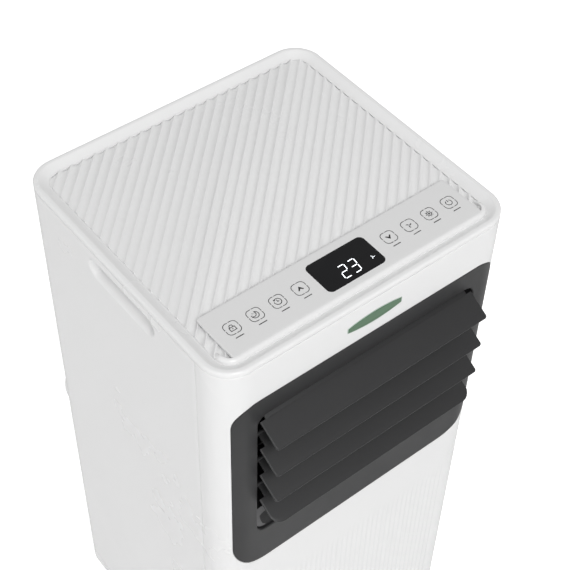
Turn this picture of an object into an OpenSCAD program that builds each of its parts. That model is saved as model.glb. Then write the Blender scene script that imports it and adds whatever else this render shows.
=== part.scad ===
// Portable air conditioner: a tall cabinet on four castors, with a ribbed top and a touch panel,
// a louvred air outlet in front, two intake filters and an exhaust collar behind.
// The origin is the middle of the footprint on the floor, +Z is up and the front faces -Y.

/* [Cabinet] */
// Width of the cabinet, side to side
body_w = 330; // [300:1:400]
// Depth of the cabinet, front face to back face
body_d = 310; // [300:1:380]
// Height from the floor to the top of the rim
body_h = 690; // [690:1:830]
// Radius of the four upright corners
corner_r = 30; // [25:1:36]
// Thickness of the moulded shells
wall = 2.6; // [2.2:0.1:3.2]
// Distance from the front face back to the seam between the two shells
seam_depth = 37; // [37:1:44]
// Width of the visible seams between outer mouldings
seam_gap = 0.3; // [0.2:0.1:0.6]
// Clearance between one moulding and another that fits inside it
fit_gap = 0.3; // [0.2:0.05:0.5]

/* [Base] */
// Height of the base pan's underside above the floor
base_z = 40; // [38:1:48]
// Height of the base pan's outer skirt
skirt_h = 15; // [14:1:20]
// Height of the pan's inner wall, from the underside
pan_h = 30; // [24:1:34]

/* [Castors] */
// Radius of a castor wheel
wheel_r = 16; // [13:0.5:17]
// Width of one of the two wheels on a castor
wheel_w = 8; // [6:0.5:9]
// Radius of a castor's axle
axle_r = 2.5; // [2:0.1:3]
// Radius of a castor's upright stem
stem_r = 4; // [3:0.1:5]
// Length of the stem inside its socket
stem_len = 13; // [10:1:15]
// Distance from the stem's axis back to the axle
castor_trail = 12; // [10:1:14]
// Distance of each stem from the cabinet's side and from its front or back
castor_inset = 36; // [34:1:42]
// Radial clearance of an axle or stem in its bore
shaft_gap = 0.05; // [0.02:0.01:0.1]

/* [Top] */
// Height of the top cover's outer skirt
cover_h = 6; // [5:0.5:9]
// Radius of the rim's outer top edge
rim_edge_r = 2.4; // [1.5:0.1:3]
// Distance from the outside to the inner edge of the rim's flat top
rim_flat = 5.4; // [4.5:0.1:6.5]
// Width of the hollow cove inside the rim
cove_w = 7.4; // [6:0.2:7.8]
// Depth of the cove below the rim
cove_depth = 4.8; // [4:0.1:5.4]
// Depth of the tray that holds the deck, below the rim
tray_depth = 9; // [8.6:0.1:10]
// Thickness of the tray's floor
tray_t = 2; // [1.6:0.1:2.6]
// Distance from the cabinet's side to the deck
deck_side_inset = 15.4; // [15:0.1:17]
// Distance from the cabinet's front to the deck
deck_front_inset = 13.4; // [13.2:0.1:15]
// Distance from the cabinet's back to the deck
deck_back_inset = 15; // [14.6:0.1:17]
// Radius of the deck's corners
deck_r = 14; // [10:0.5:16]
// Gap between the deck and the tray around it
deck_gap = 0.9; // [0.5:0.1:1.2]
// Depth of the deck's ridges below the rim
deck_drop = 2.8; // [2.4:0.1:3.4]
// Distance from one ridge to the next
flute_pitch = 9.2; // [8:0.1:12]
// Depth of the flutes between the ridges
flute_depth = 1.4; // [1:0.1:1.8]
// Width of the flat crest of a ridge
ridge_w = 0.8; // [0.5:0.1:1.4]
// Direction of the ridges, from the width axis
flute_angle = 45; // [30:1:60]
// Thickness of the deck under its flutes
deck_t = 1.8; // [1.4:0.1:2]

/* [Control panel] */
// Width of the touch panel
panel_w = 280; // [240:1:284]
// Depth of the touch panel, front to back
panel_d = 53; // [50:0.5:60]
// Thickness of the touch panel
panel_t = 1.2; // [0.8:0.1:1.6]
// Width of the rounded lip in front of the panel
panel_lip = 3.2; // [2.6:0.1:4]
// Width of the display window
display_w = 65; // [50:1:75]
// Depth of the display window, front to back
display_d = 37.5; // [25:0.5:40]
// Radius of the display window's corners
display_r = 5.5; // [2:0.5:8]
// Thickness of the display window
display_t = 2; // [1.6:0.1:2.4]
// Distance of the display's middle in front of the panel's middle
display_fwd = 1.3; // [0:0.1:5]
// Width of the circuit board under the panel
board_w = 250; // [200:1:270]
// Depth of the circuit board, front to back
board_d = 40; // [34:1:44]
// Width of the badge plate on the front
badge_w = 62; // [40:1:80]
// Height of the badge plate
badge_h = 14; // [8:0.5:18]
// Thickness of the badge plate
badge_t = 0.8; // [0.5:0.1:1.2]
// Distance of the badge's middle below the rim
badge_drop = 29; // [24:0.5:34]

/* [Air outlet] */
// Width of the dark bezel, seen from the front
bezel_w = 304.4; // [280:0.2:308]
// Distance of the bezel's top edge below the rim
bezel_drop = 51; // [48:0.5:60]
// Height of the bezel
bezel_h = 260; // [255:1:280]
// Radius of the bezel's upper corners
bezel_top_r = 26; // [15:1:30]
// Radius of the bezel's lower corners
bezel_low_r = 38; // [20:1:42]
// Thickness of the bezel
bezel_t = 3.2; // [2.6:0.1:4]
// Width of the outlet opening
outlet_w = 254; // [240:1:260]
// Distance of the opening's top edge below the rim
outlet_drop = 75.6; // [72:0.2:80]
// Height of the opening
outlet_h = 184.4; // [180:0.2:190]
// Radius of the opening's corners
outlet_r = 12; // [6:1:18]
// Depth of the outlet frame, from the front face
frame_depth = 58; // [52:1:62]
// Thickness of the outlet frame's walls
frame_t = 2.4; // [2:0.1:3]
// Height of the sloped sill at the bottom of the outlet
sill_h = 17; // [12:0.5:18]
// Depth of the sloped sill
sill_d = 10; // [8:0.5:11]

/* [Louvres] */
// Distance from one louvre's pivot to the next
louvre_pitch = 40.4; // [39:0.1:41]
// Distance from a louvre's pivot to its tip
louvre_chord = 42.4; // [41:0.1:43]
// Thickness of a louvre
louvre_t = 2; // [1.6:0.1:2.4]
// Gap between a louvre's end and the frame's side wall
louvre_end_gap = 2.4; // [2:0.1:4]
// Angle of the louvres below horizontal at rest
louvre_open = 29.5; // [20:0.5:40]
// Distance of the pivots behind the front face
pivot_depth = 12.6; // [12:0.1:14]
// Distance of the first pivot below the rim
pivot_drop = 77.2; // [77:0.1:80]
// Radius of a louvre's pivot pins
pivot_r = 2; // [1.5:0.1:2.4]
// Radius of the barrel along a louvre's pivot edge
barrel_r = 3; // [2.4:0.1:3.2]
// Radius of the tip corners of the upper louvres
tip_r = 3; // [1:0.5:6]
// Radius of the tip corners of the lowest louvre
low_tip_r = 12; // [4:0.5:14]
// Length of a louvre's crank arm
crank_len = 16; // [14:0.5:17]
// Thickness of a crank arm, and of the link bar
crank_t = 3; // [2:0.1:3.2]
// Radius of a crank pin
crank_pin_r = 1.6; // [1.2:0.1:1.8]
// Width of the link bar
link_w = 5.6; // [5:0.1:6]
// Radius of the swing motor
swing_r = 14; // [12:0.5:16]
// Length of the swing motor
swing_len = 19; // [15:0.5:22]

/* [Front ribs] */
// Height of the ribbed zone's top edge above the floor
rib_zone_top = 325; // [250:1:360]
// Distance from one upright rib to the next
rib_pitch = 7.1; // [5:0.1:12]
// Depth of the hollow between two ribs
rib_depth = 0.5; // [0.2:0.1:0.8]

/* [Carry handles] */
// Length of a handle pocket, front to back
handle_len = 102; // [90:1:115]
// Height of a handle pocket
handle_h = 24; // [20:1:30]
// Depth of a handle pocket
handle_depth = 14; // [12:1:24]
// Distance of a pocket's middle below the rim
handle_drop = 26; // [26:1:44]
// Distance of a pocket's middle in front of the cabinet's middle
handle_fwd = 8; // [0:1:12]

/* [Intake filters] */
// Width of the two filter panels
filter_w = 256; // [220:1:264]
// Height of the upper filter panel
upper_filter_h = 232; // [200:1:240]
// Height of the lower filter panel
lower_filter_h = 156; // [120:1:160]
// Distance of the upper panel's top edge below the rim
upper_filter_drop = 30; // [24:1:40]
// Height of the lower panel's bottom edge above the floor
lower_filter_z = 78; // [76:1:84]
// Thickness of a filter panel
filter_t = 5; // [4:0.5:6]
// Height of one intake slot
slot_h = 7; // [5:0.5:9]
// Distance from one intake slot to the next
slot_pitch = 12; // [10:0.5:16]
// Width of the plain border round the slots
filter_border = 14; // [10:1:20]
// Gap between a filter panel and its opening
filter_gap = 0.4; // [0.3:0.1:0.8]

/* [Exhaust and services] */
// Inner radius of the exhaust collar
hose_r = 72.5; // [60:0.5:74]
// Wall of the exhaust collar
hose_wall = 2.5; // [2:0.1:3]
// Distance the exhaust collar stands out of the back
hose_out = 24.8; // [20:0.1:32]
// Distance of the exhaust collar's axis from the middle, towards -X
hose_side = 70; // [60:1:72]
// Height of the exhaust collar's axis above the floor
hose_z = 325; // [320:1:328]
// Side of the collar's square flange
flange_w = 166; // [160:1:168]
// Outer radius of the drain spigot
spigot_r = 5.4; // [4.8:0.1:5.6]
// Radius of the drain spigot's bore
drain_r = 3.6; // [3:0.1:4]
// Distance the drain spigot stands out of the back
spigot_out = 12; // [8:0.5:14]
// Distance of the drain and the cord gland from the middle, towards +X
service_x = 110; // [100:1:118]
// Height of the cord gland above the floor
gland_z = 300; // [260:1:340]
// Radius of the cord's hole in the gland
cord_r = 4; // [3:0.1:5]

/* [Cooling parts] */
// Distance of each coil's end plates from the cabinet's side
coil_inset = 47; // [42:1:60]
// Thickness of a coil, front to back
coil_d = 38; // [30:1:40]
// Distance from the back face to the coils
coil_back = 25; // [20:1:30]
// Distance from one fin to the next
fin_pitch = 7; // [5:0.5:12]
// Radius of a coil's tubes
tube_r = 4; // [3:0.5:5]
// Radius of the crossflow fan
fan_r = 50; // [40:1:52]
// Distance of the crossflow fan's ends from the cabinet's side
fan_inset = 52; // [50:1:60]
// Distance of the crossflow fan's axis below the rim
fan_drop = 160; // [155:1:170]
// Radius of the exhaust wheel
blower_r = 70; // [60:1:72]
// Depth of the exhaust wheel
blower_d = 44; // [36:1:46]
// Radius of the compressor
compressor_r = 58; // [45:1:60]
// Height of the compressor
compressor_h = 190; // [150:1:200]
// Radius of the fan shafts
fan_shaft_r = 4; // [3:0.5:5]

/* [Hidden] */
$fn = 64;
front_y = -body_d / 2;
back_y = body_d / 2;
shell_z = base_z + skirt_h;
cover_z = body_h - cover_h;
tray_z = body_h - tray_depth;
ridge_z = body_h - deck_drop;
seam_y = front_y + seam_depth;
eps = 0.01;
white = "whitesmoke";
dark = "#45474a";
grey = "lightgrey";
steel = "silver";
copper = "peru";

// ---- shared outlines ----

// Rectangle with four equal round corners
module round_rect(w, d, r) {
    square([w - 2 * r, d], center = true);
    square([w, d - 2 * r], center = true);
    for (sx = [-1, 1], sy = [-1, 1])
        translate([sx * (w / 2 - r), sy * (d / 2 - r)]) circle(r);
}

// Rectangle with one radius for its two upper corners and another for its two lower ones
module round_rect_2(w, h, top_r, low_r) {
    translate([-w / 2 + top_r, h / 2 - top_r]) square([w - 2 * top_r, top_r]);
    translate([-w / 2, -h / 2 + low_r]) square([w, h - top_r - low_r]);
    translate([-w / 2 + low_r, -h / 2]) square([w - 2 * low_r, low_r]);
    for (s = [-1, 1]) {
        translate([s * (w / 2 - top_r), h / 2 - top_r]) circle(top_r);
        translate([s * (w / 2 - low_r), -h / 2 + low_r]) circle(low_r);
    }
}

// The cabinet's plan outline, moved in by a distance
module plan(inset = 0) {
    round_rect(body_w - 2 * inset, body_d - 2 * inset, corner_r - inset);
}

// A wall that follows the plan outline, from an inset to a thickness further in
module plan_wall(inset, t) {
    difference() {
        plan(inset);
        plan(inset + t);
    }
}

// The part of the plan in front of a depth, or behind it
module plan_front(y) {
    translate([-body_w, front_y - body_d]) square([2 * body_w, y - front_y + body_d]);
}
module plan_behind(y) {
    translate([-body_w, y]) square([2 * body_w, body_d + back_y - y]);
}

// Carries a front view, X and Z, through a length behind y
module front_view(y, length) {
    translate([0, y + length, 0]) rotate([90, 0, 0]) linear_extrude(length) children();
}

// Carries a side view, Y and Z, through a length to the right of x
module side_view(x, length) {
    translate([x, 0, 0]) rotate([90, 0, 90]) linear_extrude(length) children();
}

// ---- base ----

module base_pan() {
    color(white) difference() {
        union() {
            translate([0, 0, base_z]) linear_extrude(wall) plan();
            translate([0, 0, base_z]) linear_extrude(skirt_h - seam_gap) plan_wall(0, wall);
            translate([0, 0, base_z]) linear_extrude(pan_h) plan_wall(wall + fit_gap, wall);
            for (c = castor_places) translate([c[0], c[1], base_z]) cylinder(h = stem_len + 3, r = stem_r + 4);
        }
        for (c = castor_places)
            translate([c[0], c[1], base_z - 1]) cylinder(h = stem_len + 2, r = stem_r + shaft_gap);
        drain_axis(spigot_r + fit_gap / 2, back_y - 4 * wall, 5 * wall);
    }
}

drain_z = base_z + wall + 0.4 + spigot_r;
module drain_axis(r, y, length) {
    translate([service_x, y, drain_z]) rotate([-90, 0, 0]) cylinder(h = length, r = r);
}

castor_x = body_w / 2 - castor_inset;
castor_y = body_d / 2 - castor_inset;
castor_places = [
    [-castor_x, -castor_y], [castor_x, -castor_y], [-castor_x, castor_y], [castor_x, castor_y]
];
web_t = 4.4;
web_gap = 0.6;
hood_gap = 1;
hood_t = 1.4;
hood_r = wheel_r + hood_gap + hood_t;
castor_half_w = web_t / 2 + web_gap + wheel_w;

// Castor body: stem, hood and the web between the two wheels
module castor(i) {
    translate([castor_places[i][0], castor_places[i][1], 0]) color(dark) difference() {
        union() {
            translate([0, 0, hood_r + wheel_r - 4]) cylinder(h = base_z + stem_len - hood_r - wheel_r + 4, r = stem_r);
            intersection() {
                translate([0, castor_trail, wheel_r]) rotate([0, 90, 0]) union() {
                    translate([0, 0, -web_t / 2]) cylinder(h = web_t, r = hood_r);
                    difference() {
                        translate([0, 0, -castor_half_w]) cylinder(h = 2 * castor_half_w, r = hood_r);
                        translate([0, 0, -castor_half_w - 1])
                            cylinder(h = 2 * castor_half_w + 2, r = wheel_r + hood_gap);
                    }
                }
                translate([-body_w, -body_d, wheel_r - 4]) cube([2 * body_w, 2 * body_d, body_h]);
            }
            translate([0, 0, wheel_r + 6]) cylinder(h = hood_r - 3, r = stem_r + 2);
        }
        translate([-body_w / 2, castor_trail, wheel_r]) rotate([0, 90, 0]) cylinder(h = body_w, r = axle_r + shaft_gap);
        // keeps the stem's foot out of the wheels' way
        translate([0, castor_trail, wheel_r]) rotate([0, 90, 0]) for (s = [-1, 1])
            translate([0, 0, s * (web_t / 2 + wheel_w / 2 + web_gap / 2) - (wheel_w + web_gap) / 2])
                cylinder(h = wheel_w + web_gap + eps, r = wheel_r + hood_gap);
    }
}

// The two wheels of a castor on their axle
module castor_wheels(i) {
    translate([castor_places[i][0], castor_places[i][1] + castor_trail, wheel_r]) rotate([0, 90, 0]) color(grey) union() {
        translate([0, 0, -castor_half_w]) cylinder(h = 2 * castor_half_w, r = axle_r);
        for (s = [-1, 1]) translate([0, 0, s * (castor_half_w - wheel_w / 2) - wheel_w / 2]) difference() {
            cylinder(h = wheel_w, r = wheel_r);
            translate([0, 0, s > 0 ? wheel_w - 1.5 : -1]) difference() {
                cylinder(h = 2.5, r = wheel_r - 3.5);
                translate([0, 0, -1]) cylinder(h = 5, r = axle_r + 2.5);
            }
        }
    }
}

// ---- shells ----

bezel_z = body_h - bezel_drop - bezel_h / 2;
outlet_z = body_h - outlet_drop - outlet_h / 2;
rib_hollow_w = rib_pitch - 1;
rib_hollow_r = (pow(rib_hollow_w / 2, 2) + pow(rib_depth, 2)) / (2 * rib_depth);
rib_half_count = floor((body_w / 2 - corner_r) / rib_pitch);

module bezel_outline(grow = 0) {
    translate([0, bezel_z])
        round_rect_2(bezel_w + 2 * grow, bezel_h + 2 * grow, bezel_top_r + grow, bezel_low_r + grow);
}

module front_shell() {
    color(white) difference() {
        union() {
            translate([0, 0, rib_zone_top]) linear_extrude(cover_z - rib_zone_top - seam_gap) intersection() {
                plan_wall(0, wall);
                plan_front(seam_y - seam_gap);
            }
            translate([0, 0, shell_z]) linear_extrude(rib_zone_top - shell_z) difference() {
                intersection() {
                    plan_wall(0, wall);
                    plan_front(seam_y - seam_gap);
                }
                for (i = [-rib_half_count:rib_half_count])
                    translate([i * rib_pitch, front_y + rib_depth - rib_hollow_r]) circle(rib_hollow_r);
            }
        }
        front_view(front_y - 1, seam_depth) bezel_outline(seam_gap);
    }
}

handle_y = -handle_fwd;
handle_z = body_h - handle_drop;
upper_filter_z = body_h - upper_filter_drop - upper_filter_h / 2;
lower_filter_mid = lower_filter_z + lower_filter_h / 2;
filter_r = 8;
shell_top = cover_z - seam_gap;

module handle_outline(grow = 0) {
    translate([handle_y, handle_z])
        round_rect(handle_len + 2 * grow, handle_h + 2 * grow, handle_h / 2 + grow - eps);
}

module rear_shell() {
    color(white) difference() {
        union() {
            translate([0, 0, shell_z]) linear_extrude(shell_top - shell_z) intersection() {
                plan_wall(0, wall);
                plan_behind(seam_y);
            }
            // tongue that reaches behind the front shell along both seams
            translate([0, 0, shell_z + pan_h]) linear_extrude(shell_top - shell_z - pan_h - tray_depth - wall)
                intersection() {
                    union() {
                        plan_wall(wall + fit_gap, 1.4);
                        intersection() {
                            plan_wall(wall - eps, 1.8);
                            plan_behind(seam_y);
                        }
                    }
                    plan_front(seam_y + 8);
                    plan_behind(seam_y - 3);
                }
            for (s = [-1, 1]) side_view(s > 0 ? body_w / 2 - handle_depth - 2 : -body_w / 2 + eps, handle_depth + 2 - eps)
                handle_outline(2);
        }
        for (s = [-1, 1])
            side_view(s > 0 ? body_w / 2 - handle_depth : -body_w / 2 - 1, handle_depth + 1) handle_outline();
        front_view(back_y - 2 * filter_t, 3 * filter_t) {
            translate([0, upper_filter_z])
                round_rect(filter_w + 2 * filter_gap, upper_filter_h + 2 * filter_gap, filter_r + filter_gap);
            translate([0, lower_filter_mid])
                round_rect(filter_w + 2 * filter_gap, lower_filter_h + 2 * filter_gap, filter_r + filter_gap);
            translate([-hose_side, hose_z]) circle(hose_r + hose_wall + fit_gap);
            translate([service_x, gland_z]) circle(cord_r + 3 + fit_gap / 2);
            collar_screw_places() circle(screw_r + fit_gap / 2);
        }
    }
}

// ---- top ----

// Radius of the cove, so that it ends level at its deepest point
cove_r = (pow(cove_w, 2) + pow(cove_depth, 2)) / (2 * cove_depth);
rim_band = 24;

// Section through the rim: skirt, rounded edge, flat top and cove, with the inside to the left
module rim_section() {
    difference() {
        union() {
            translate([-rim_band, -tray_depth - tray_t])
                square([rim_band - wall - fit_gap, tray_depth + tray_t]);
            translate([-rim_band, -cover_h]) square([rim_band, cover_h - rim_edge_r]);
            translate([-rim_band, -cover_h]) square([rim_band - rim_edge_r, cover_h]);
            translate([-rim_edge_r, -rim_edge_r]) circle(rim_edge_r);
        }
        translate([-rim_flat - cove_w, cove_r - cove_depth]) circle(cove_r);
        translate([-rim_band - 1, -cove_depth]) square([rim_band + 1 - rim_flat - cove_w, cove_depth + 1]);
    }
}

// The rim all round: four straight runs and four quarter turns
module rim_ring() {
    for (sx = [-1, 1], sy = [-1, 1]) translate([sx * (body_w / 2 - corner_r), sy * (body_d / 2 - corner_r), 0])
        rotate([0, 0, sx > 0 ? (sy > 0 ? 0 : -90) : (sy > 0 ? 90 : 180)])
            rotate_extrude(angle = 90) translate([corner_r, 0]) rim_section();
    for (s = [0, 180]) rotate([0, 0, s]) {
        translate([body_w / 2, body_d / 2 - corner_r, 0]) rotate([90, 0, 0])
            linear_extrude(body_d - 2 * corner_r) rim_section();
        translate([-body_w / 2 + corner_r, body_d / 2, 0]) rotate([90, 0, 90])
            linear_extrude(body_w - 2 * corner_r) rim_section();
    }
}

module deck_outline(grow = 0) {
    translate([0, (deck_front_inset - deck_back_inset) / 2]) round_rect(
        body_w - 2 * deck_side_inset + 2 * grow,
        body_d - deck_front_inset - deck_back_inset + 2 * grow, deck_r + grow);
}

module top_cover() {
    color(white) difference() {
        union() {
            translate([0, 0, body_h]) rim_ring();
            translate([0, 0, tray_z - tray_t]) linear_extrude(tray_t) plan(rim_band - 4);
        }
        translate([0, 0, tray_z]) linear_extrude(2 * tray_depth) deck_outline(deck_gap);
        translate([-board_w / 4, panel_y - 10, tray_z - 2 * tray_t]) cube([board_w / 2, 20, 4 * tray_t]);
    }
}

// Middle of the touch panel, front to back
panel_y = front_y + deck_front_inset + panel_lip + panel_d / 2;
display_y = panel_y - display_fwd;
flute_w = flute_pitch - ridge_w;
flute_r = (pow(flute_w / 2, 2) + pow(flute_depth, 2)) / (2 * flute_depth);
flute_steps = 6;
flute_half_count = ceil((body_w + body_d) / 2 / flute_pitch);
deck_cavity_z = ridge_z - flute_depth - deck_t;

// Depth of a flute at a distance from its middle
function flute_at(u) = sqrt(pow(flute_r, 2) - pow(u, 2)) - (flute_r - flute_depth);

// Section across the flutes
module flute_section() {
    polygon(concat(
        [[-(flute_half_count + 1) * flute_pitch, -deck_t - 4 * flute_depth]],
        [for (i = [-flute_half_count:flute_half_count], k = [0:flute_steps])
            let (u = (k / flute_steps - 0.5) * flute_w) [i * flute_pitch + u, -max(0, flute_at(u))]],
        [[(flute_half_count + 1) * flute_pitch, -deck_t - 4 * flute_depth]]
    ));
}

module ribbed_deck() {
    platform_front = front_y + deck_front_inset;
    platform_back = panel_y + panel_d / 2;
    lip_r = panel_lip - 0.2;
    color(white) difference() {
        union() {
            intersection() {
                translate([0, 0, tray_z]) linear_extrude(ridge_z - tray_z) deck_outline();
                union() {
                    translate([0, 0, ridge_z]) rotate([0, 0, flute_angle]) rotate([90, 0, 90])
                        translate([0, 0, -body_w]) linear_extrude(2 * body_w) flute_section();
                    translate([-body_w, -body_d, tray_z - 1])
                        cube([2 * body_w, 2 * body_d, ridge_z - flute_depth - deck_t / 2 - tray_z + 1]);
                }
            }
            intersection() {
                translate([0, 0, tray_z]) linear_extrude(tray_depth) deck_outline();
                side_view(-panel_w / 2 - 0.6, panel_w + 1.2) {
                    translate([platform_front, tray_z]) square([platform_back - platform_front, tray_depth - lip_r]);
                    translate([platform_front + lip_r, tray_z])
                        square([platform_back - platform_front - lip_r, tray_depth]);
                    translate([platform_front + lip_r, body_h - lip_r]) circle(lip_r);
                }
            }
        }
        // seat of the touch panel
        translate([-panel_w / 2 - 0.1, panel_y - panel_d / 2 - 0.1, body_h - panel_t])
            cube([panel_w + 0.2, panel_d + 2, 2 * panel_t]);
        // hollow underside, and the well for the display and its board
        translate([0, 0, tray_z - 1]) linear_extrude(deck_cavity_z - tray_z + 1) deck_outline(-2.4);
        translate([-board_w / 2 - 1, panel_y - board_d / 2 - 1, tray_z - 1])
            cube([board_w + 2, board_d + 2, body_h - panel_t - 2 - tray_z + 1]);
        translate([0, display_y, tray_z - 1]) linear_extrude(2 * tray_depth)
            round_rect(display_w - 2, display_d - 2, display_r);
    }
}

module control_panel() {
    color("gainsboro") translate([0, 0, body_h - panel_t]) linear_extrude(panel_t) difference() {
        intersection() {
            translate([0, panel_y]) square([panel_w, panel_d], center = true);
            deck_outline(-0.6);
        }
        translate([0, display_y]) round_rect(display_w, display_d, display_r);
    }
}

module display_window() {
    color("black") translate([0, display_y, body_h - panel_t]) {
        linear_extrude(panel_t) round_rect(display_w - 2 * 0.05, display_d - 2 * 0.05, display_r - 0.05);
        translate([0, 0, panel_t - display_t]) linear_extrude(display_t - panel_t + eps)
            round_rect(display_w - 2.4, display_d - 2.4, display_r - 0.2);
    }
}

module control_board() {
    board_t = 1.6;
    color("seagreen") translate([0, panel_y, tray_z]) {
        linear_extrude(board_t) square([board_w, board_d], center = true);
        translate([0, -display_fwd, board_t - eps]) linear_extrude(body_h - display_t - tray_z - board_t - 0.2)
            square([display_w - 6, display_d - 6], center = true);
    }
}

module badge_plate() {
    color("#5f8f72") front_view(front_y - badge_t, badge_t)
        translate([0, body_h - badge_drop]) round_rect(badge_w, badge_h, badge_h / 2 - eps);
}

// ---- air outlet ----

module outlet_bezel() {
    color(dark) intersection() {
        translate([0, 0, bezel_z - bezel_h]) linear_extrude(2 * bezel_h) plan_wall(0, bezel_t);
        front_view(front_y - 1, seam_depth) difference() {
            bezel_outline();
            translate([0, outlet_z]) round_rect(outlet_w, outlet_h, outlet_r);
        }
    }
}

frame_front = front_y + bezel_t;
frame_back = front_y + frame_depth;
outlet_top = outlet_z + outlet_h / 2;
outlet_low = outlet_z - outlet_h / 2;
frame_half_w = outlet_w / 2;
pivot_y = front_y + pivot_depth;
frame_roof = outlet_top + 6;

function pivot_z(i) = body_h - pivot_drop - i * louvre_pitch;

// Box behind the bezel that guides the air and carries the louvres
module outlet_frame() {
    floor_z = outlet_low + sill_h;
    color(dark) difference() {
        union() {
            for (s = [-1, 1]) side_view(s > 0 ? frame_half_w : -frame_half_w - frame_t, frame_t)
                translate([frame_front, outlet_low - frame_t])
                    square([frame_back - frame_front, frame_roof + 2 * frame_t - outlet_low]);
            // roof
            translate([-frame_half_w - eps, frame_front, frame_roof])
                cube([outlet_w + 2 * eps, frame_back - frame_front, frame_t]);
            // sloped sill and the floor behind it
            side_view(-frame_half_w - eps, outlet_w + 2 * eps) polygon([
                [frame_front, outlet_low - frame_t], [frame_front, outlet_low],
                [frame_front + sill_d, floor_z], [frame_back, floor_z],
                [frame_back, floor_z - frame_t], [frame_front + sill_d + 2, floor_z - frame_t],
                [frame_front + 3, outlet_low - frame_t]
            ]);
        }
        for (i = [0:3]) translate([-body_w / 2, pivot_y, pivot_z(i)]) rotate([0, 90, 0])
            cylinder(h = body_w, r = pivot_r + shaft_gap);
    }
}

// Small light clip that holds the sill to the side wall
module sill_clip() {
    color("white") translate([-frame_half_w, frame_front + 0.6, outlet_low + 29]) {
        cube([2, 3, 2.4]);
        cube([1.4, 5, 6]);
    }
}

louvre_half_w = frame_half_w - louvre_end_gap;
barrel_half_w = louvre_half_w - 12;
crank_x = -louvre_half_w + 4.1;
crank_angle = -75;

// Blade, barrel, pins and crank arm of one louvre, at its rest angle
module louvre(i) {
    corner = i == 3 ? low_tip_r : tip_r;
    color(dark) translate([0, pivot_y, pivot_z(i)]) rotate([louvre_open, 0, 0]) {
        difference() {
            union() {
                translate([0, 0, -louvre_t / 2]) linear_extrude(louvre_t) {
                    translate([-louvre_half_w, -louvre_chord + corner])
                        square([2 * louvre_half_w, louvre_chord - corner - pivot_depth - 0.8]);
                    translate([-barrel_half_w - 6, -pivot_depth - 1])
                        square([2 * barrel_half_w + 12, pivot_depth + 1]);
                    translate([-louvre_half_w + corner, -louvre_chord])
                        square([2 * (louvre_half_w - corner), corner + 1]);
                    for (s = [-1, 1]) translate([s * (louvre_half_w - corner), -louvre_chord + corner]) circle(corner);
                }
                translate([-barrel_half_w, 0, 0]) rotate([0, 90, 0]) cylinder(h = 2 * barrel_half_w, r = barrel_r);
                translate([-frame_half_w - frame_t, 0, 0]) rotate([0, 90, 0])
                    cylinder(h = frame_half_w + frame_t - barrel_half_w + 1, r = pivot_r);
                if (i != 1) translate([barrel_half_w - 1, 0, 0]) rotate([0, 90, 0])
                    cylinder(h = frame_half_w + frame_t - barrel_half_w + 1, r = pivot_r);
                rotate([crank_angle, 0, 0]) {
                    translate([crank_x, 0, -2.6]) cube([crank_t, crank_len, 5.2]);
                    translate([crank_x, crank_len, 0]) rotate([0, 90, 0]) cylinder(h = crank_t, r = 2.6);
                    translate([crank_x - crank_t - 0.4, crank_len, 0]) rotate([0, 90, 0])
                        cylinder(h = crank_t + 1, r = crank_pin_r);
                }
            }
            if (i == 1) translate([barrel_half_w - 8, 0, 0]) rotate([0, 90, 0])
                cylinder(h = louvre_half_w, r = pivot_r);
        }
    }
}

module louvre_1() louvre(0);
module louvre_2() louvre(1);
module louvre_3() louvre(2);
module louvre_4() louvre(3);

crank_rest = crank_angle + louvre_open;
link_y = pivot_y + crank_len * cos(crank_rest);
link_dz = crank_len * sin(crank_rest);

// Bar that joins the four cranks
module louvre_link() {
    link_x = crank_x - crank_t - 0.2;
    color("white") difference() {
        union() {
            translate([link_x, link_y - link_w / 2, pivot_z(3) + link_dz])
                cube([crank_t, link_w, 3 * louvre_pitch]);
            for (i = [0, 3]) translate([link_x, link_y, pivot_z(i) + link_dz]) rotate([0, 90, 0])
                cylinder(h = crank_t, r = link_w / 2);
        }
        for (i = [0:3]) translate([link_x - 1, link_y, pivot_z(i) + link_dz]) rotate([0, 90, 0])
            cylinder(h = crank_t + 2, r = crank_pin_r + shaft_gap);
    }
}

swing_x = frame_half_w + frame_t;
module swing_motor() {
    color(steel) difference() {
        union() {
            translate([swing_x, pivot_y + 8, pivot_z(1)]) rotate([0, 90, 0]) cylinder(h = swing_len, r = swing_r);
            translate([swing_x, pivot_y + 8 - 3.5, pivot_z(1) - swing_r - 7]) cube([1.2, 7, 2 * swing_r + 14]);
            translate([swing_x + 4, pivot_y + 8 + swing_r - 2, pivot_z(1) - 7]) cube([swing_len - 6, 6, 14]);
        }
        translate([swing_x - 1, pivot_y, pivot_z(1)]) rotate([0, 90, 0])
            cylinder(h = 13, r = pivot_r + shaft_gap);
    }
}

module swing_shaft() {
    color(steel) translate([barrel_half_w - 8, pivot_y, pivot_z(1)]) rotate([0, 90, 0])
        cylinder(h = swing_x + 11 - barrel_half_w + 8, r = pivot_r);
}

// ---- intake filters ----

// Slotted panel seen from the front, with three bays of level slots
module filter_view(h) {
    bay_w = (filter_w - 2 * filter_border - 16) / 3;
    rows = floor((h - 2 * filter_border + slot_pitch - slot_h) / slot_pitch);
    difference() {
        round_rect(filter_w, h, filter_r);
        for (row = [0:rows - 1], bay = [-1:1])
            translate([bay * (bay_w + 8), (row - (rows - 1) / 2) * slot_pitch])
                square([bay_w, slot_h], center = true);
    }
}

// Panel with a finger tab at its top edge
module filter_panel(z, h) {
    color(white) {
        front_view(back_y - filter_t, filter_t) translate([0, z]) filter_view(h);
        front_view(back_y - eps, 3) translate([0, z + h / 2 - filter_border / 2]) round_rect(34, 6, 2.9);
    }
}

module filter_mesh(z, h) {
    color("dimgray") front_view(back_y - filter_t - 0.8, 0.8)
        translate([0, z]) round_rect(filter_w - 10, h - 10, filter_r - 4);
}

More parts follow.
